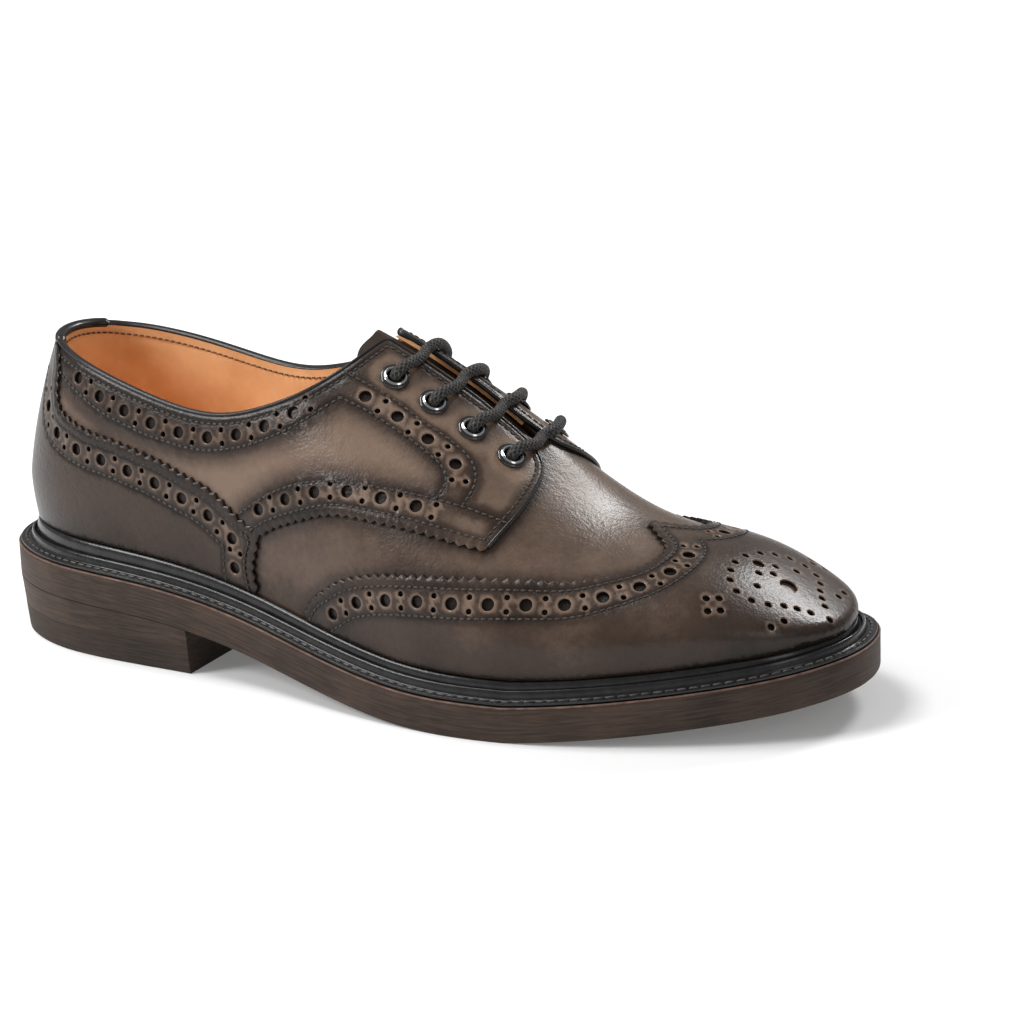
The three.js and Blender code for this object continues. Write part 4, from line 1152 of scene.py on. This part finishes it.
def make_quarter(inner, turn):
    """A quarter: pinked over its foot, folded along its front and the topline, punched in
    strips. Returns its rows of stitches."""
    foot = trace(FACING_FOOT, inner, 0.4)
    front = trace(FACING_FRONT, inner, 0.45)
    start, end = [TURN - angle_at(share) if inner else angle_at(share)
                  for share in (FRONT_TOP, 0.05)]
    outline = joined(
        stretch(pinked(foot, -turn), 0, -0.3),
        stretch(front, 0.3, -0.3),
        stretch(rim_path(start, end, turn * 0.5), 0.4, -0.4),
        under_counter(inner, turn),
    )
    strip_row, stay_upper, stay_lower, collar_strip = [
        trace(marks, inner) for marks in (FACING_STRIP, STAY_UPPER, STAY_LOWER, COLLAR_STRIP)]
    rows = [clipped(beside(foot, turn * MARGIN)),
            stretch(clipped(beside(front, turn * 2.3)), 2, 0),
            row_beside(rim_path(start, end), turn * 2.9),
            strip_row, stay_upper, stay_lower, collar_strip]
    strip_flat = np.concatenate([chart(*row) for row in rows[3:]])
    back = share_at(counter_side[inner][0]) < 0.352
    counter_part = counter_side[inner][0][back], counter_side[inner][1][back]
    field = [chart(*joined(collar_strip, stretch(stay_lower, 0.5, 0), turned(strip_row),
                           counter_part))]
    eyes_flat = np.array([chart(*eyelet_place(i, inner)) for i in range(EYELETS)])

    def tone(angle, up, flat):
        """Light in the field between the strips, partly the burnish's light crust and partly a
        painted sheen, in a halo round each eyelet and at the facing's front, darker on the strips,
        towards every seam and at the back."""
        share = share_at(angle)
        inside = within(flat, field)
        seam = nearest(flat, strip_flat)
        halo = np.exp(-((nearest(flat, eyes_flat) - 6.4) / 2.0) ** 2)
        facing = 0.36 + 0.24 * smooth((share - 0.44) / 0.06)
        # The field's light is partly the burnish's light crust and partly a painted sheen.
        base = np.where(inside, 0.48 + 0.45 * smooth(seam / 9), facing)
        base = base + 0.2 * smooth((share - 0.6) / 0.03) * (seam > 3)
        return base + 0.3 * halo - smooth((0.32 - share) / 0.2) * np.where(inside, 0.3, 0.12)

    def height(angle, up, flat):
        """The field lies a little lower than the strips; beside the counter the leather
        goes down under it."""
        edge = nearest(flat, counter_edge_flat)
        dip = smooth((5 - edge) / 4) * (share_at(angle) < 0.37)
        inside = within(flat, field) * smooth(nearest(flat, strip_flat) / 1.6)
        return TOP - 0.35 * inside - 0.35 * dip

    side = side_name(inner)
    leather_panel(f"quarter_leather_{side}", outline,
                  quarter_holes(inner, turn, foot, collar_strip), rows,
                  [f"quarter_{side}"], height, tone, 1.6)
    return rows


quarter_rows = make_quarter(False, 1) + make_quarter(True, -1)

stitches("wing_stitches", [(row, TOP - 0.05) for row in wing_rows])
stitches("counter_stitches", [(row, TOP + 0.15) for row in counter_rows[::2]]
         + [(row, TOP - 0.1) for row in counter_rows[1::2]])
stitches("quarter_stitches", [(row, TOP - 0.05) for row in quarter_rows])


# The upper's shell and lining
def make_shell():
    """The vamp leather at the last's surface and the lining a wall beneath, as one closed
    sheet: a grid of ribs by levels up to each rib's cut, sewn at the ridge ahead of the
    throat and walled along the opening and the foot."""
    columns, levels = 960, 70
    angle = np.linspace(0, TURN, columns, endpoint=False)
    top = cut(angle)
    t = np.linspace(0, 1, levels)
    up = FOOT_AT + (top[:, None] - FOOT_AT) * t[None, :]
    angles = np.repeat(angle[:, None], levels, 1)
    skive = 1 - 0.4 * smooth((t - 0.93) / 0.07)[None, :] * (top[:, None] < 0.999)
    outer = over(angles, up, np.zeros_like(up)).reshape(-1, 3)
    inner = over(angles, up, -WALL * skive * np.ones_like(up)).reshape(-1, 3)
    faces_out = grid_faces(columns, levels, True, False)
    faces_in = faces_out[:, ::-1] + columns * levels
    i = np.arange(columns)
    i2 = (i + 1) % columns
    base = columns * levels
    foot = np.stack([i * levels, base + i * levels, base + i2 * levels, i2 * levels], 1)[:, ::-1]
    is_open = top < 0.9999
    ring_open = is_open | is_open[i2]
    j = levels - 1
    rim = np.stack([i * levels + j, base + i * levels + j, base + i2 * levels + j,
                    i2 * levels + j], 1)[ring_open]
    throat = ((share_at(angle) > 0.46) & (share_at(angle) < 0.62))[ring_open]
    faces = np.concatenate([faces_out, faces_in, foot, rim])
    slots = np.concatenate([np.zeros(len(faces_out)), np.ones(len(faces_in)),
                            np.ones(len(foot)), np.where(throat, 1, 2)])
    share = share_at(angles).ravel()
    ups = up.ravel()
    shade = 0.62 - 0.2 * smooth((0.25 - ups) / 0.25) + 0.1 * smooth((share - 0.6) / 0.1)
    flat = chart(angles.ravel(), ups)
    # Painted shade: under the panels the shell is made near black, so the holes' depths read dark;
    # under the toe's medallion it stays lighter.
    covered = within(flat, panel_outlines[:1])
    for outline in panel_outlines[1:]:
        covered |= within(flat, [outline])
    toe = smooth((share - 0.86) / 0.03) * smooth((ups - 0.5) / 0.2)
    shade = np.where(covered, 0.02 + 0.6 * toe, shade)
    # Painted shadow: the vamp is darker just outside each panel's edge, where the panel shades it.
    drawn = nearest(flat, np.concatenate(panel_outlines))
    shade = shade - 0.22 * np.exp(-(drawn / 2.5) ** 2) * ~covered
    piece("upper_shell", np.concatenate([outer, inner]), faces,
          [BROWN, LINING, EDGE_BLACK], ["upper"], slots, np.concatenate([shade, shade]),
          weld=True, sharp=50)


make_shell()


def tube_along(middle, up_way, radius_up, radius_side, sides):
    """A profile carried along a path: middle + up·cos·radius_up + side·sin·radius_side, with
    closed ends. A radius is one number, one for each row or one for each corner."""
    along = unit(np.gradient(middle, axis=0))
    side = unit(np.cross(along, up_way))
    up_way = unit(np.cross(side, along))
    turn = np.linspace(0, TURN, sides, endpoint=False)
    high, wide = np.cos(turn) * radius_up, np.sin(turn) * radius_side
    body = middle[:, None] + up_way[:, None] * high[..., None] + side[:, None] * wide[..., None]
    points = np.concatenate([body.reshape(-1, 3), middle[:1], middle[-1:]])
    faces = grid_faces(len(middle), sides, False, True)[:, ::-1].tolist()
    start_cap = len(middle) * sides
    last_row = start_cap - sides
    for j in range(sides):
        j2 = (j + 1) % sides
        faces.append((start_cap, j2, j))
        faces.append((start_cap + 1, last_row + j, last_row + j2))
    return points, faces


def make_edge_roll():
    """The folded edge: up both facings' fronts, along the throat and round the collar."""
    halves = []
    for inner, _ in SIDES:
        front = trace(FACING_FRONT, inner, 0.6)
        start = angle_at(FRONT_TOP)
        rim = rim_path(TURN - start, TURN, 0, 0.6) if inner else rim_path(start, 0.0, 0, 0.6)
        halves.append(joined(front, stretch(rim, 1, 0)))
    outer, inner = halves
    angle, up = joined(outer, stretch(turned((inner[0] - TURN, inner[1])), 0.6, 0))
    for _ in range(3):
        angle = np.convolve(np.pad(angle, 2, "edge"), np.ones(5) / 5, "valid")
        up = np.convolve(np.pad(up, 2, "edge"), np.ones(5) / 5, "valid")
    share = share_at(angle)
    collar = smooth((0.5 - share) / 0.04)
    tab = smooth((0.034 - share) / 0.004)
    middle = over(angle, up, 0.85 - 0.75 * collar)
    thick = 0.85 + 0.6 * collar + 0.45 * tab
    wide = 0.75 + 0.75 * tab
    points, faces = tube_along(middle, normal(angle, up), thick[:, None], wide[:, None], 16)
    piece("edge_roll", points, faces, [EDGE_BLACK], sharp=180)


make_edge_roll()

lining_row = rim_path(angle_at(0.468), -angle_at(0.468), 2.6)
stitches("lining_stitches", [(lining_row, -WALL - 0.05)], LINING_THREAD)


# The tongue
TONGUE_TOP, TONGUE_FOOT = 0.455, 0.668
TONGUE_HALF = 25
TONGUE_THICK = 1.8


def make_tongue():
    """A sheet under the facings, from the vamp up past the topline to its shaped top."""
    rows, columns = 120, 61
    share = np.linspace(TONGUE_FOOT, TONGUE_TOP, rows)
    across_ = np.linspace(-1, 1, columns)
    width = TONGUE_HALF * (1 - 0.35 * (share - TONGUE_TOP) / (TONGUE_FOOT - TONGUE_TOP))
    width = width * (1 - 0.1 * smooth((0.47 - share) / 0.02))
    hump = 0.5 - 0.5 * np.cos(across_ * TURN)
    end = smooth((0.49 - share) / 0.03)[:, None]
    shift = end * (0.006 * (1 - hump)[None, :] + 0.03 * np.abs(across_)[None, :] ** 3)
    place = share[:, None] + shift * 0.8
    angle = angle_at(place)
    reach = np.abs(across_)[None, :] * width[:, None]
    angle = np.where(across_[None, :] > 0, TURN - angle, angle)
    up = up_at_reach(angle, reach)
    top = over(angle, up, np.full(up.shape, -WALL - CLEAR)).reshape(-1, 3)
    low = over(angle, up, np.full(up.shape, -WALL - CLEAR - TONGUE_THICK)).reshape(-1, 3)
    n = rows * columns
    faces = grid_faces(rows, columns)
    border = np.concatenate([np.arange(columns), np.arange(2, rows + 1) * columns - 1,
                             n - 2 - np.arange(columns - 1),
                             np.arange(rows - 2, 0, -1) * columns])
    nxt = np.roll(border, -1)
    walls = np.stack([border, nxt, nxt + n, border + n], 1)
    all_faces = np.concatenate([faces[:, ::-1], faces + n, walls[:, ::-1]])
    slots = np.concatenate([np.zeros(len(faces)), np.ones(len(faces)), np.full(len(walls), 2)])
    piece("tongue_leather", np.concatenate([top, low]), all_faces,
          [BROWN, LINING, EDGE_BLACK], ["tongue"], slots, np.full(2 * n, 0.4))


make_tongue()

# The bottom


def chaikin(points):
    """A closed section with its corners cut to a quarter, twice."""
    for _ in range(2):
        nxt = np.roll(points, -1, 0)
        points = np.stack([points * 0.75 + nxt * 0.25, points * 0.25 + nxt * 0.75], 1).reshape(
            -1, points.shape[1])
    return points


WELT_EDGE = 0.9  # from the sole's edge to the welt's
# Across as a share of the room, share of the bead's height, fixed height
WELT_SECTION = np.array([
    (0, 0, 0.3), (0, 0, 1.25), (0.03, 0, 1.32), (0.38, 0, 1.3), (0.44, 0, 1.5), (0.49, 0, 3.6),
    (0.55, 0, 4.3), (0.62, 0, 4.0), (0.67, 0, 2.9), (0.72, 0, 2.6), (0.755, 1, -2.4),
    (0.8, 1, -0.7), (0.89, 1, 0.1), (0.98, 1, -0.25), (1.03, 1, -1.2), (1, 0, 0.3),
])


def make_welt():
    """The storm welt: a flat stitched edge, a rib, a deep groove and the bead that covers
    the upper's feather, one section carried round the sole's edge. Returns the line of its
    stitches."""
    angle = np.linspace(0, TURN, 720, endpoint=False)
    share = share_at(angle)
    place, drawn, swell, wide, feather = [column(share) for column in side_at]
    bulge = np.sin(1.7 / (wide * SWELL_HEIGHT) * math.pi / 2) * swell * SWELL
    room = drawn * WELT_WIDTH - CLEAR - bulge - WELT_EDGE
    bead = feather * FEATHER + 1.7
    section = chaikin(WELT_SECTION)
    flat = inset(angle[:, None] + 0 * section[None, :, 0],
                 WELT_EDGE + section[None, :, 0] * room[:, None])
    z = underside(flat[..., 0]) + SOLE + section[None, :, 1] * bead[:, None] + section[None, :, 2]
    points = np.concatenate([flat, z[..., None]], -1).reshape(-1, 3)
    faces = grid_faces(len(angle), len(section), True, True)
    piece("storm_welt_strip", points, faces, [WELT_BLACK], ["storm_welt"],
          sharp=60)
    stitch_path = inset(angle, WELT_EDGE + 0.24 * room)
    height = underside(stitch_path[:, 0]) + SOLE + 1.38
    return np.column_stack([stitch_path, height])


welt_line = make_welt()


WELT_STITCH_PITCH, WELT_STITCH_LENGTH, WELT_STITCH_WIDTH = 3.6, 3.0, 0.84


def make_welt_stitches():
    """Stitches along the welt's flat edge, all the way round."""
    closed = np.concatenate([welt_line, welt_line[:1]])
    length = running(closed)
    count = int(length[-1] / WELT_STITCH_PITCH)
    at = np.arange(count) * length[-1] / count
    middle = np.stack([np.interp(at, length, closed[:, k]) for k in range(3)], 1)
    along = unit(np.roll(middle, -1, 0) - np.roll(middle, 1, 0))
    points, faces = spindles(middle, along, np.tile([0, 0, 1.0], (count, 1)),
                             WELT_STITCH_LENGTH, WELT_STITCH_WIDTH)
    piece("welt_stitches", points, faces, [WELT_THREAD], sharp=180, weld=True)


make_welt_stitches()


def slab(name, angles, section, low, high, finish, replaces, breast=False):
    """A layer of the bottom: its rounded edge section (inset, share of the height) carried
    along the sole's edge, with strips across its underside and its top. The angles lie
    evenly about the heel, so each strip runs from one side of the sole to the other."""
    count, last = len(angles), len(section) - 1
    rings = []
    for drawn, share in section:
        flat = inset(angles, np.full(count, drawn))
        z = low(flat[:, 0]) * (1 - share) + high(flat[:, 0]) * share
        rings.append(np.column_stack([flat, z]))
    length = running(rings[len(section) // 2])
    tall = float(np.mean(high(rings[0][:, 0]) - low(rings[0][:, 0])))
    uv = np.concatenate([np.column_stack([length / 100, np.full(count, share * tall / 100)])
                         for _, share in section])
    faces = grid_faces(len(section), count, False, not breast)[:, ::-1].tolist()
    for k in (0, last):
        for i in range(count // 2 - 1):
            a, b = k * count + i, k * count + i + 1
            c, d = (k + 1) * count - 2 - i, (k + 1) * count - 1 - i
            faces.append([d, c, b, a] if k else [a, b, c, d])
    if breast:
        for k in range(last):
            faces.append([k * count, (k + 1) * count, (k + 2) * count - 1, (k + 1) * count - 1])
    piece(name, np.concatenate(rings), faces, [finish], replaces, uv=uv, sharp=40)


def outsole_top(x):
    """The outsole's upper face, drawn up to the midsole."""
    return underside(x) + OUTSOLE + CLEAR


def seat_top(x):
    """The midsole's upper face, on which the welt lies."""
    return underside(x) + SOLE


LOOP = np.linspace(0, TURN, 721)[:-1] + math.pi / 720
OUTSOLE_SECTION = [(0.3, 0), (0.1, 0.03), (0.0, 0.1), (0.0, 0.5), (0.02, 0.93), (0.03, 1)]
MIDSOLE_SECTION = [(0.03, 0), (0.03, 0.08), (0.04, 0.5), (0.06, 0.86), (0.3, 0.96), (0.75, 1)]
slab("outsole_edge", LOOP, OUTSOLE_SECTION, underside, outsole_top, SOLE_EDGE,
     ["outsole"])
slab("midsole_edge", LOOP, MIDSOLE_SECTION, outsole_top, seat_top, SOLE_EDGE,
     ["midsole"])


def make_corner():
    """The worn line along the sole's top corner."""
    angle = np.linspace(0, TURN, 720, endpoint=False)
    flat = inset(angle, np.full(len(angle), 0.42))
    middle = np.column_stack([flat, seat_top(flat[:, 0]) - 0.12])
    middle = np.concatenate([middle, middle[:1]])
    points, faces = tube_along(middle, [0, 0, 1.0], 0.32, 0.42, 8)
    piece("sole_corner_line", points, faces, [SOLE_CORNER], sharp=180)


make_corner()

heel_angle = float(angle_at(HEEL_LENGTH / LENGTH))
HEEL_ANGLES = np.linspace(-heel_angle, heel_angle, 242)


def heel_inset(height):
    """How far the heel is drawn in at a height."""
    return HEEL_TAPER * (1 - height / HEEL_RISE)


def level_face(height):
    """A level face, as a height at each x."""
    return lambda x: np.full(np.shape(x), float(height))


def heel_seat(x):
    """The heel's uppermost face, just under the outsole."""
    return underside(x) - 0.02


def lift(node, low, high, low_mm, high_mm, slot, finish):
    """One lift of the heel, drawn in towards the floor, its edges a little rounded."""
    a, b = heel_inset(low_mm), heel_inset(high_mm)
    on_floor = low_mm == 0
    section = [(a + 0.4 * on_floor, 0), (a + 0.1 * on_floor, 0.03), (a, 0.08),
               ((a + b) / 2, 0.5), (b, 0.95), (b + 0.03, 1)]
    slab(f"{node}_edge", HEEL_ANGLES, section, low, high, finish, [node], breast=True)


LIFT_SEAM = TOP_PIECE + LOWER_LIFT
lift("heel_top_piece", level_face(0), level_face(TOP_PIECE + CLEAR * 0.9),
     0, TOP_PIECE, "heel_rubber", HEEL_RUBBER)
lift("heel_lift_lower", level_face(TOP_PIECE + CLEAR), level_face(LIFT_SEAM + CLEAR * 1.9),
     TOP_PIECE, LIFT_SEAM, "sole_edge", SOLE_EDGE)
lift("heel_lift_upper", level_face(LIFT_SEAM + 2 * CLEAR), heel_seat,
     LIFT_SEAM, HEEL_RISE, "sole_edge", SOLE_EDGE)

# The fastening
EYELET_SECTION = np.array([
    (2.6, -1.9), (2.95, -1.9), (2.95, 1.75), (4.3, 1.5), (4.78, 1.6), (4.85, 1.95), (4.6, 2.35),
    (4.1, 2.5), (3.85, 2.45), (3.75, 2.5), (3.5, 2.85), (3.1, 2.9), (2.75, 2.6), (2.6, 2.1),
])


def make_eyelet(i, inner):
    """A turned ring: a black flange with a bright rolled lip round its bore."""
    middle, along, aside, out = spot_frame(*eyelet_place(i, inner))
    turn = np.linspace(0, TURN, 48, endpoint=False)[:, None, None]
    radius, height = EYELET_SECTION.T[:, None, :, None]
    points = middle + (np.cos(turn) * along + np.sin(turn) * aside) * radius + out * height
    faces = grid_faces(48, len(EYELET_SECTION), True, True)
    column = np.tile(np.arange(len(EYELET_SECTION)), 48)
    slots = ((column >= 9) & (column <= 12)).astype(int)
    side = side_name(inner)
    piece(f"eyelet_ring_{side}_{i + 1}", points.reshape(-1, 3), faces,
          [EYELET_BLACK, NICKEL], [f"eyelet_{side}_{i + 1}"], slots, sharp=50)


LACE_RADIUS = 1.8
LACE_STRANDS = 7
LACE_LEAD = 4.0  # how far forward a bar crosses the throat
LACE_ON_FLANGE = 2.9 + CLEAR + 1.6
LACE_ON_LEATHER = TOP + CLEAR + 1.6
# Out from the eyelet's middle, height against the flange, share of the lead
LACE_MARKS = [(0, -4, 0), (0, -2.6, 0), (0.4, -1.3, 0.03), (1.6, -0.45, 0.14), (3.4, -0.2, 0.3)]


def lace_half(i, inner):
    """The marks of half a bar: up out of the eyelet, over its flange, to the facing's edge."""
    angle, seat = [np.array([v]) for v in eyelet_place(i, inner)]
    span = np.linalg.norm(surf(angle, seat + NUDGE) - surf(angle, seat - NUDGE))
    ahead = angle + math.copysign(NUDGE, math.pi - angle[0])
    forward = unit(surf(ahead, 0.97) - surf(angle, 0.97))[0]
    places = [(seat + out * 2 * NUDGE / span, LACE_ON_FLANGE + rise, lead)
              for out, rise, lead in LACE_MARKS]
    places.append((up_at_reach(angle, np.array([THROAT_GAP / 2 + 2])), LACE_ON_LEATHER,
                   1.05 if inner else 0.95))
    return [over(angle, up, [height])[0] + forward * lead * LACE_LEAD
            for up, height, lead in places]


def lace_path(i):
    """Out of one eyelet, over its flange, the facing's edge and the throat, and down into
    the eyelet opposite."""
    angle = angle_at(eyelet_share[i])
    ahead = unit(surf(angle + NUDGE, 1.0) - surf(angle, 1.0))
    crest = surf(angle, 1.0) + ahead * LACE_LEAD * 1.25 + [0, 0, LACE_ON_LEATHER - 0.7]
    marks = np.array(lace_half(i, False) + [crest] + lace_half(i, True)[::-1])
    length = np.append(0, np.cumsum(np.linalg.norm(np.diff(marks, axis=0), axis=1) ** 0.5))
    at = np.linspace(0, length[-1], 400)
    line = np.stack([curve(length, marks[:, k])(at) for k in range(3)], 1)
    run = running(line)
    even_at = np.linspace(0, run[-1], int(run[-1] / 0.22))
    return np.stack([np.interp(even_at, run, line[:, k]) for k in range(3)], 1), even_at


def make_lace(i):
    """A braided round lace: radius·(0.95 + 0.085·weave), where the weave is the higher of two
    sets of strands that wind round it opposite ways."""
    middle, run = lace_path(i)
    sides = 56
    turn = np.linspace(0, TURN, sides, endpoint=False)[None, :]
    wind = TURN * run[:, None] / 5.2
    weave = np.maximum(np.cos(LACE_STRANDS * (turn + wind / 2)),
                       np.cos(LACE_STRANDS * (turn - wind / 2)))
    radius = LACE_RADIUS * (0.95 + 0.085 * weave)
    up_way = normal(np.array([angle_at(eyelet_share[i])]), np.array([0.999]))[0]
    points, faces = tube_along(middle, up_way, radius, radius, sides)
    # Painted highlight: the crests of the weave are lighter.
    tone = np.concatenate([clamp01(weave * 0.4 + 0.45).ravel(), [0.3, 0.3]])
    piece(f"lace_{i + 1}", points, faces, [LACE], [f"lace_bar_{i + 1}"], tone=tone,
          sharp=180)


for i in range(EYELETS):
    make_eyelet(i, False)
    make_eyelet(i, True)
    make_lace(i)

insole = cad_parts["insole"]
insole.data.materials.clear()
insole.data.materials.append(LINING)

# Floor, lights and camera


def make_stage():
    """A pale floor that runs out of view, glowing more the farther it lies from the shoe."""
    mesh = bpy.data.meshes.new("floor")
    size = 6.0
    mesh.from_pydata([(-size, -size, 0), (size, -size, 0), (size, size, 0), (-size, size, 0)], [],
                     [(0, 1, 2, 3)])
    made, nodes, links, shader = material("pale_floor")
    shader.inputs["Base Color"].default_value = (0.78, 0.78, 0.78, 1)
    shader.inputs["Roughness"].default_value = 0.9
    shader.inputs["Specular IOR Level"].default_value = 0.1
    shader.inputs["Emission Color"].default_value = (1, 1, 1, 1)
    distance = nodes.new("ShaderNodeVectorMath")
    distance.operation = "LENGTH"
    links.new(object_coordinates(nodes), distance.inputs[0])
    # Painted light: the floor glows, least near the shoe and most far off, so it stays white while
    # the shoe's shadow still shows.
    glow = nodes.new("ShaderNodeMapRange")
    glow.interpolation_type = "SMOOTHSTEP"
    for name, value in (("From Min", 0.15), ("From Max", 1.1), ("To Min", 0.14), ("To Max", 0.78)):
        glow.inputs[name].default_value = value
    links.new(distance.outputs["Value"], glow.inputs["Value"])
    links.new(glow.outputs["Result"], shader.inputs["Emission Strength"])
    mesh.materials.append(made)
    floor = bpy.data.objects.new("floor", mesh)
    bpy.context.scene.collection.objects.link(floor)


make_stage()


def area_light(name, place, target, size, power):
    """A softbox that faces its target."""
    data = bpy.data.lights.new(name, "AREA")
    data.shape = "RECTANGLE"
    data.size, data.size_y = size
    data.energy = power
    light = bpy.data.objects.new(name, data)
    light.location = place
    way = Vector(target) - Vector(place)
    light.rotation_euler = way.to_track_quat("-Z", "Y").to_euler()
    bpy.context.scene.collection.objects.link(light)


area_light("softbox_over", (-0.4, -0.1, 1.1), (0.0, 0.0, 0.05), (0.6, 0.45), 9)
area_light("softbox_behind", (0.36, 1.05, 0.95), (0.08, 0.0, 0.05), (0.34, 0.28), 9.5)
area_light("softbox_left", (-0.85, -0.75, 0.75), (0.0, 0.0, 0.05), (0.45, 0.45), 11)
area_light("softbox_right", (1.1, -0.5, 0.6), (0.1, 0.0, 0.05), (0.35, 0.6), 1.8)

world = bpy.data.worlds.new("studio")
world.use_nodes = True
world.node_tree.nodes["Background"].inputs["Color"].default_value = (1, 1, 1, 1)
world.node_tree.nodes["Background"].inputs["Strength"].default_value = 0.24
bpy.context.scene.world = world
bpy.context.scene.view_settings.view_transform = "Standard"

AZIMUTH, ELEVATION, ROLL = (math.radians(v) for v in (28.0, 17.05, -2.03))
DISTANCE = 947.5
FOCAL_PIXELS = 2967.2
TARGET = np.array([186.43, 0, 54.04]) + SHIFT


def make_camera():
    """The photograph's camera: about the target by azimuth and elevation, then rolled."""
    back = np.array([math.sin(AZIMUTH) * math.cos(ELEVATION),
                     -math.cos(AZIMUTH) * math.cos(ELEVATION), math.sin(ELEVATION)])
    right = unit(np.cross([0, 0, 1.0], back))
    up = np.cross(back, right)
    turned_right = math.cos(ROLL) * right + math.sin(ROLL) * up
    turned_up = -math.sin(ROLL) * right + math.cos(ROLL) * up
    data = bpy.data.cameras.new("camera")
    data.sensor_width = 36
    data.lens = FOCAL_PIXELS / 1024 * 36
    data.clip_end = 50
    camera = bpy.data.objects.new("camera", data)
    place = (TARGET + back * DISTANCE) * MM
    matrix = Matrix.Identity(4)
    for k in range(3):
        matrix[k][0], matrix[k][1], matrix[k][2] = turned_right[k], turned_up[k], back[k]
        matrix[k][3] = place[k]
    camera.matrix_world = matrix
    bpy.context.scene.collection.objects.link(camera)
    bpy.context.scene.camera = camera


make_camera()
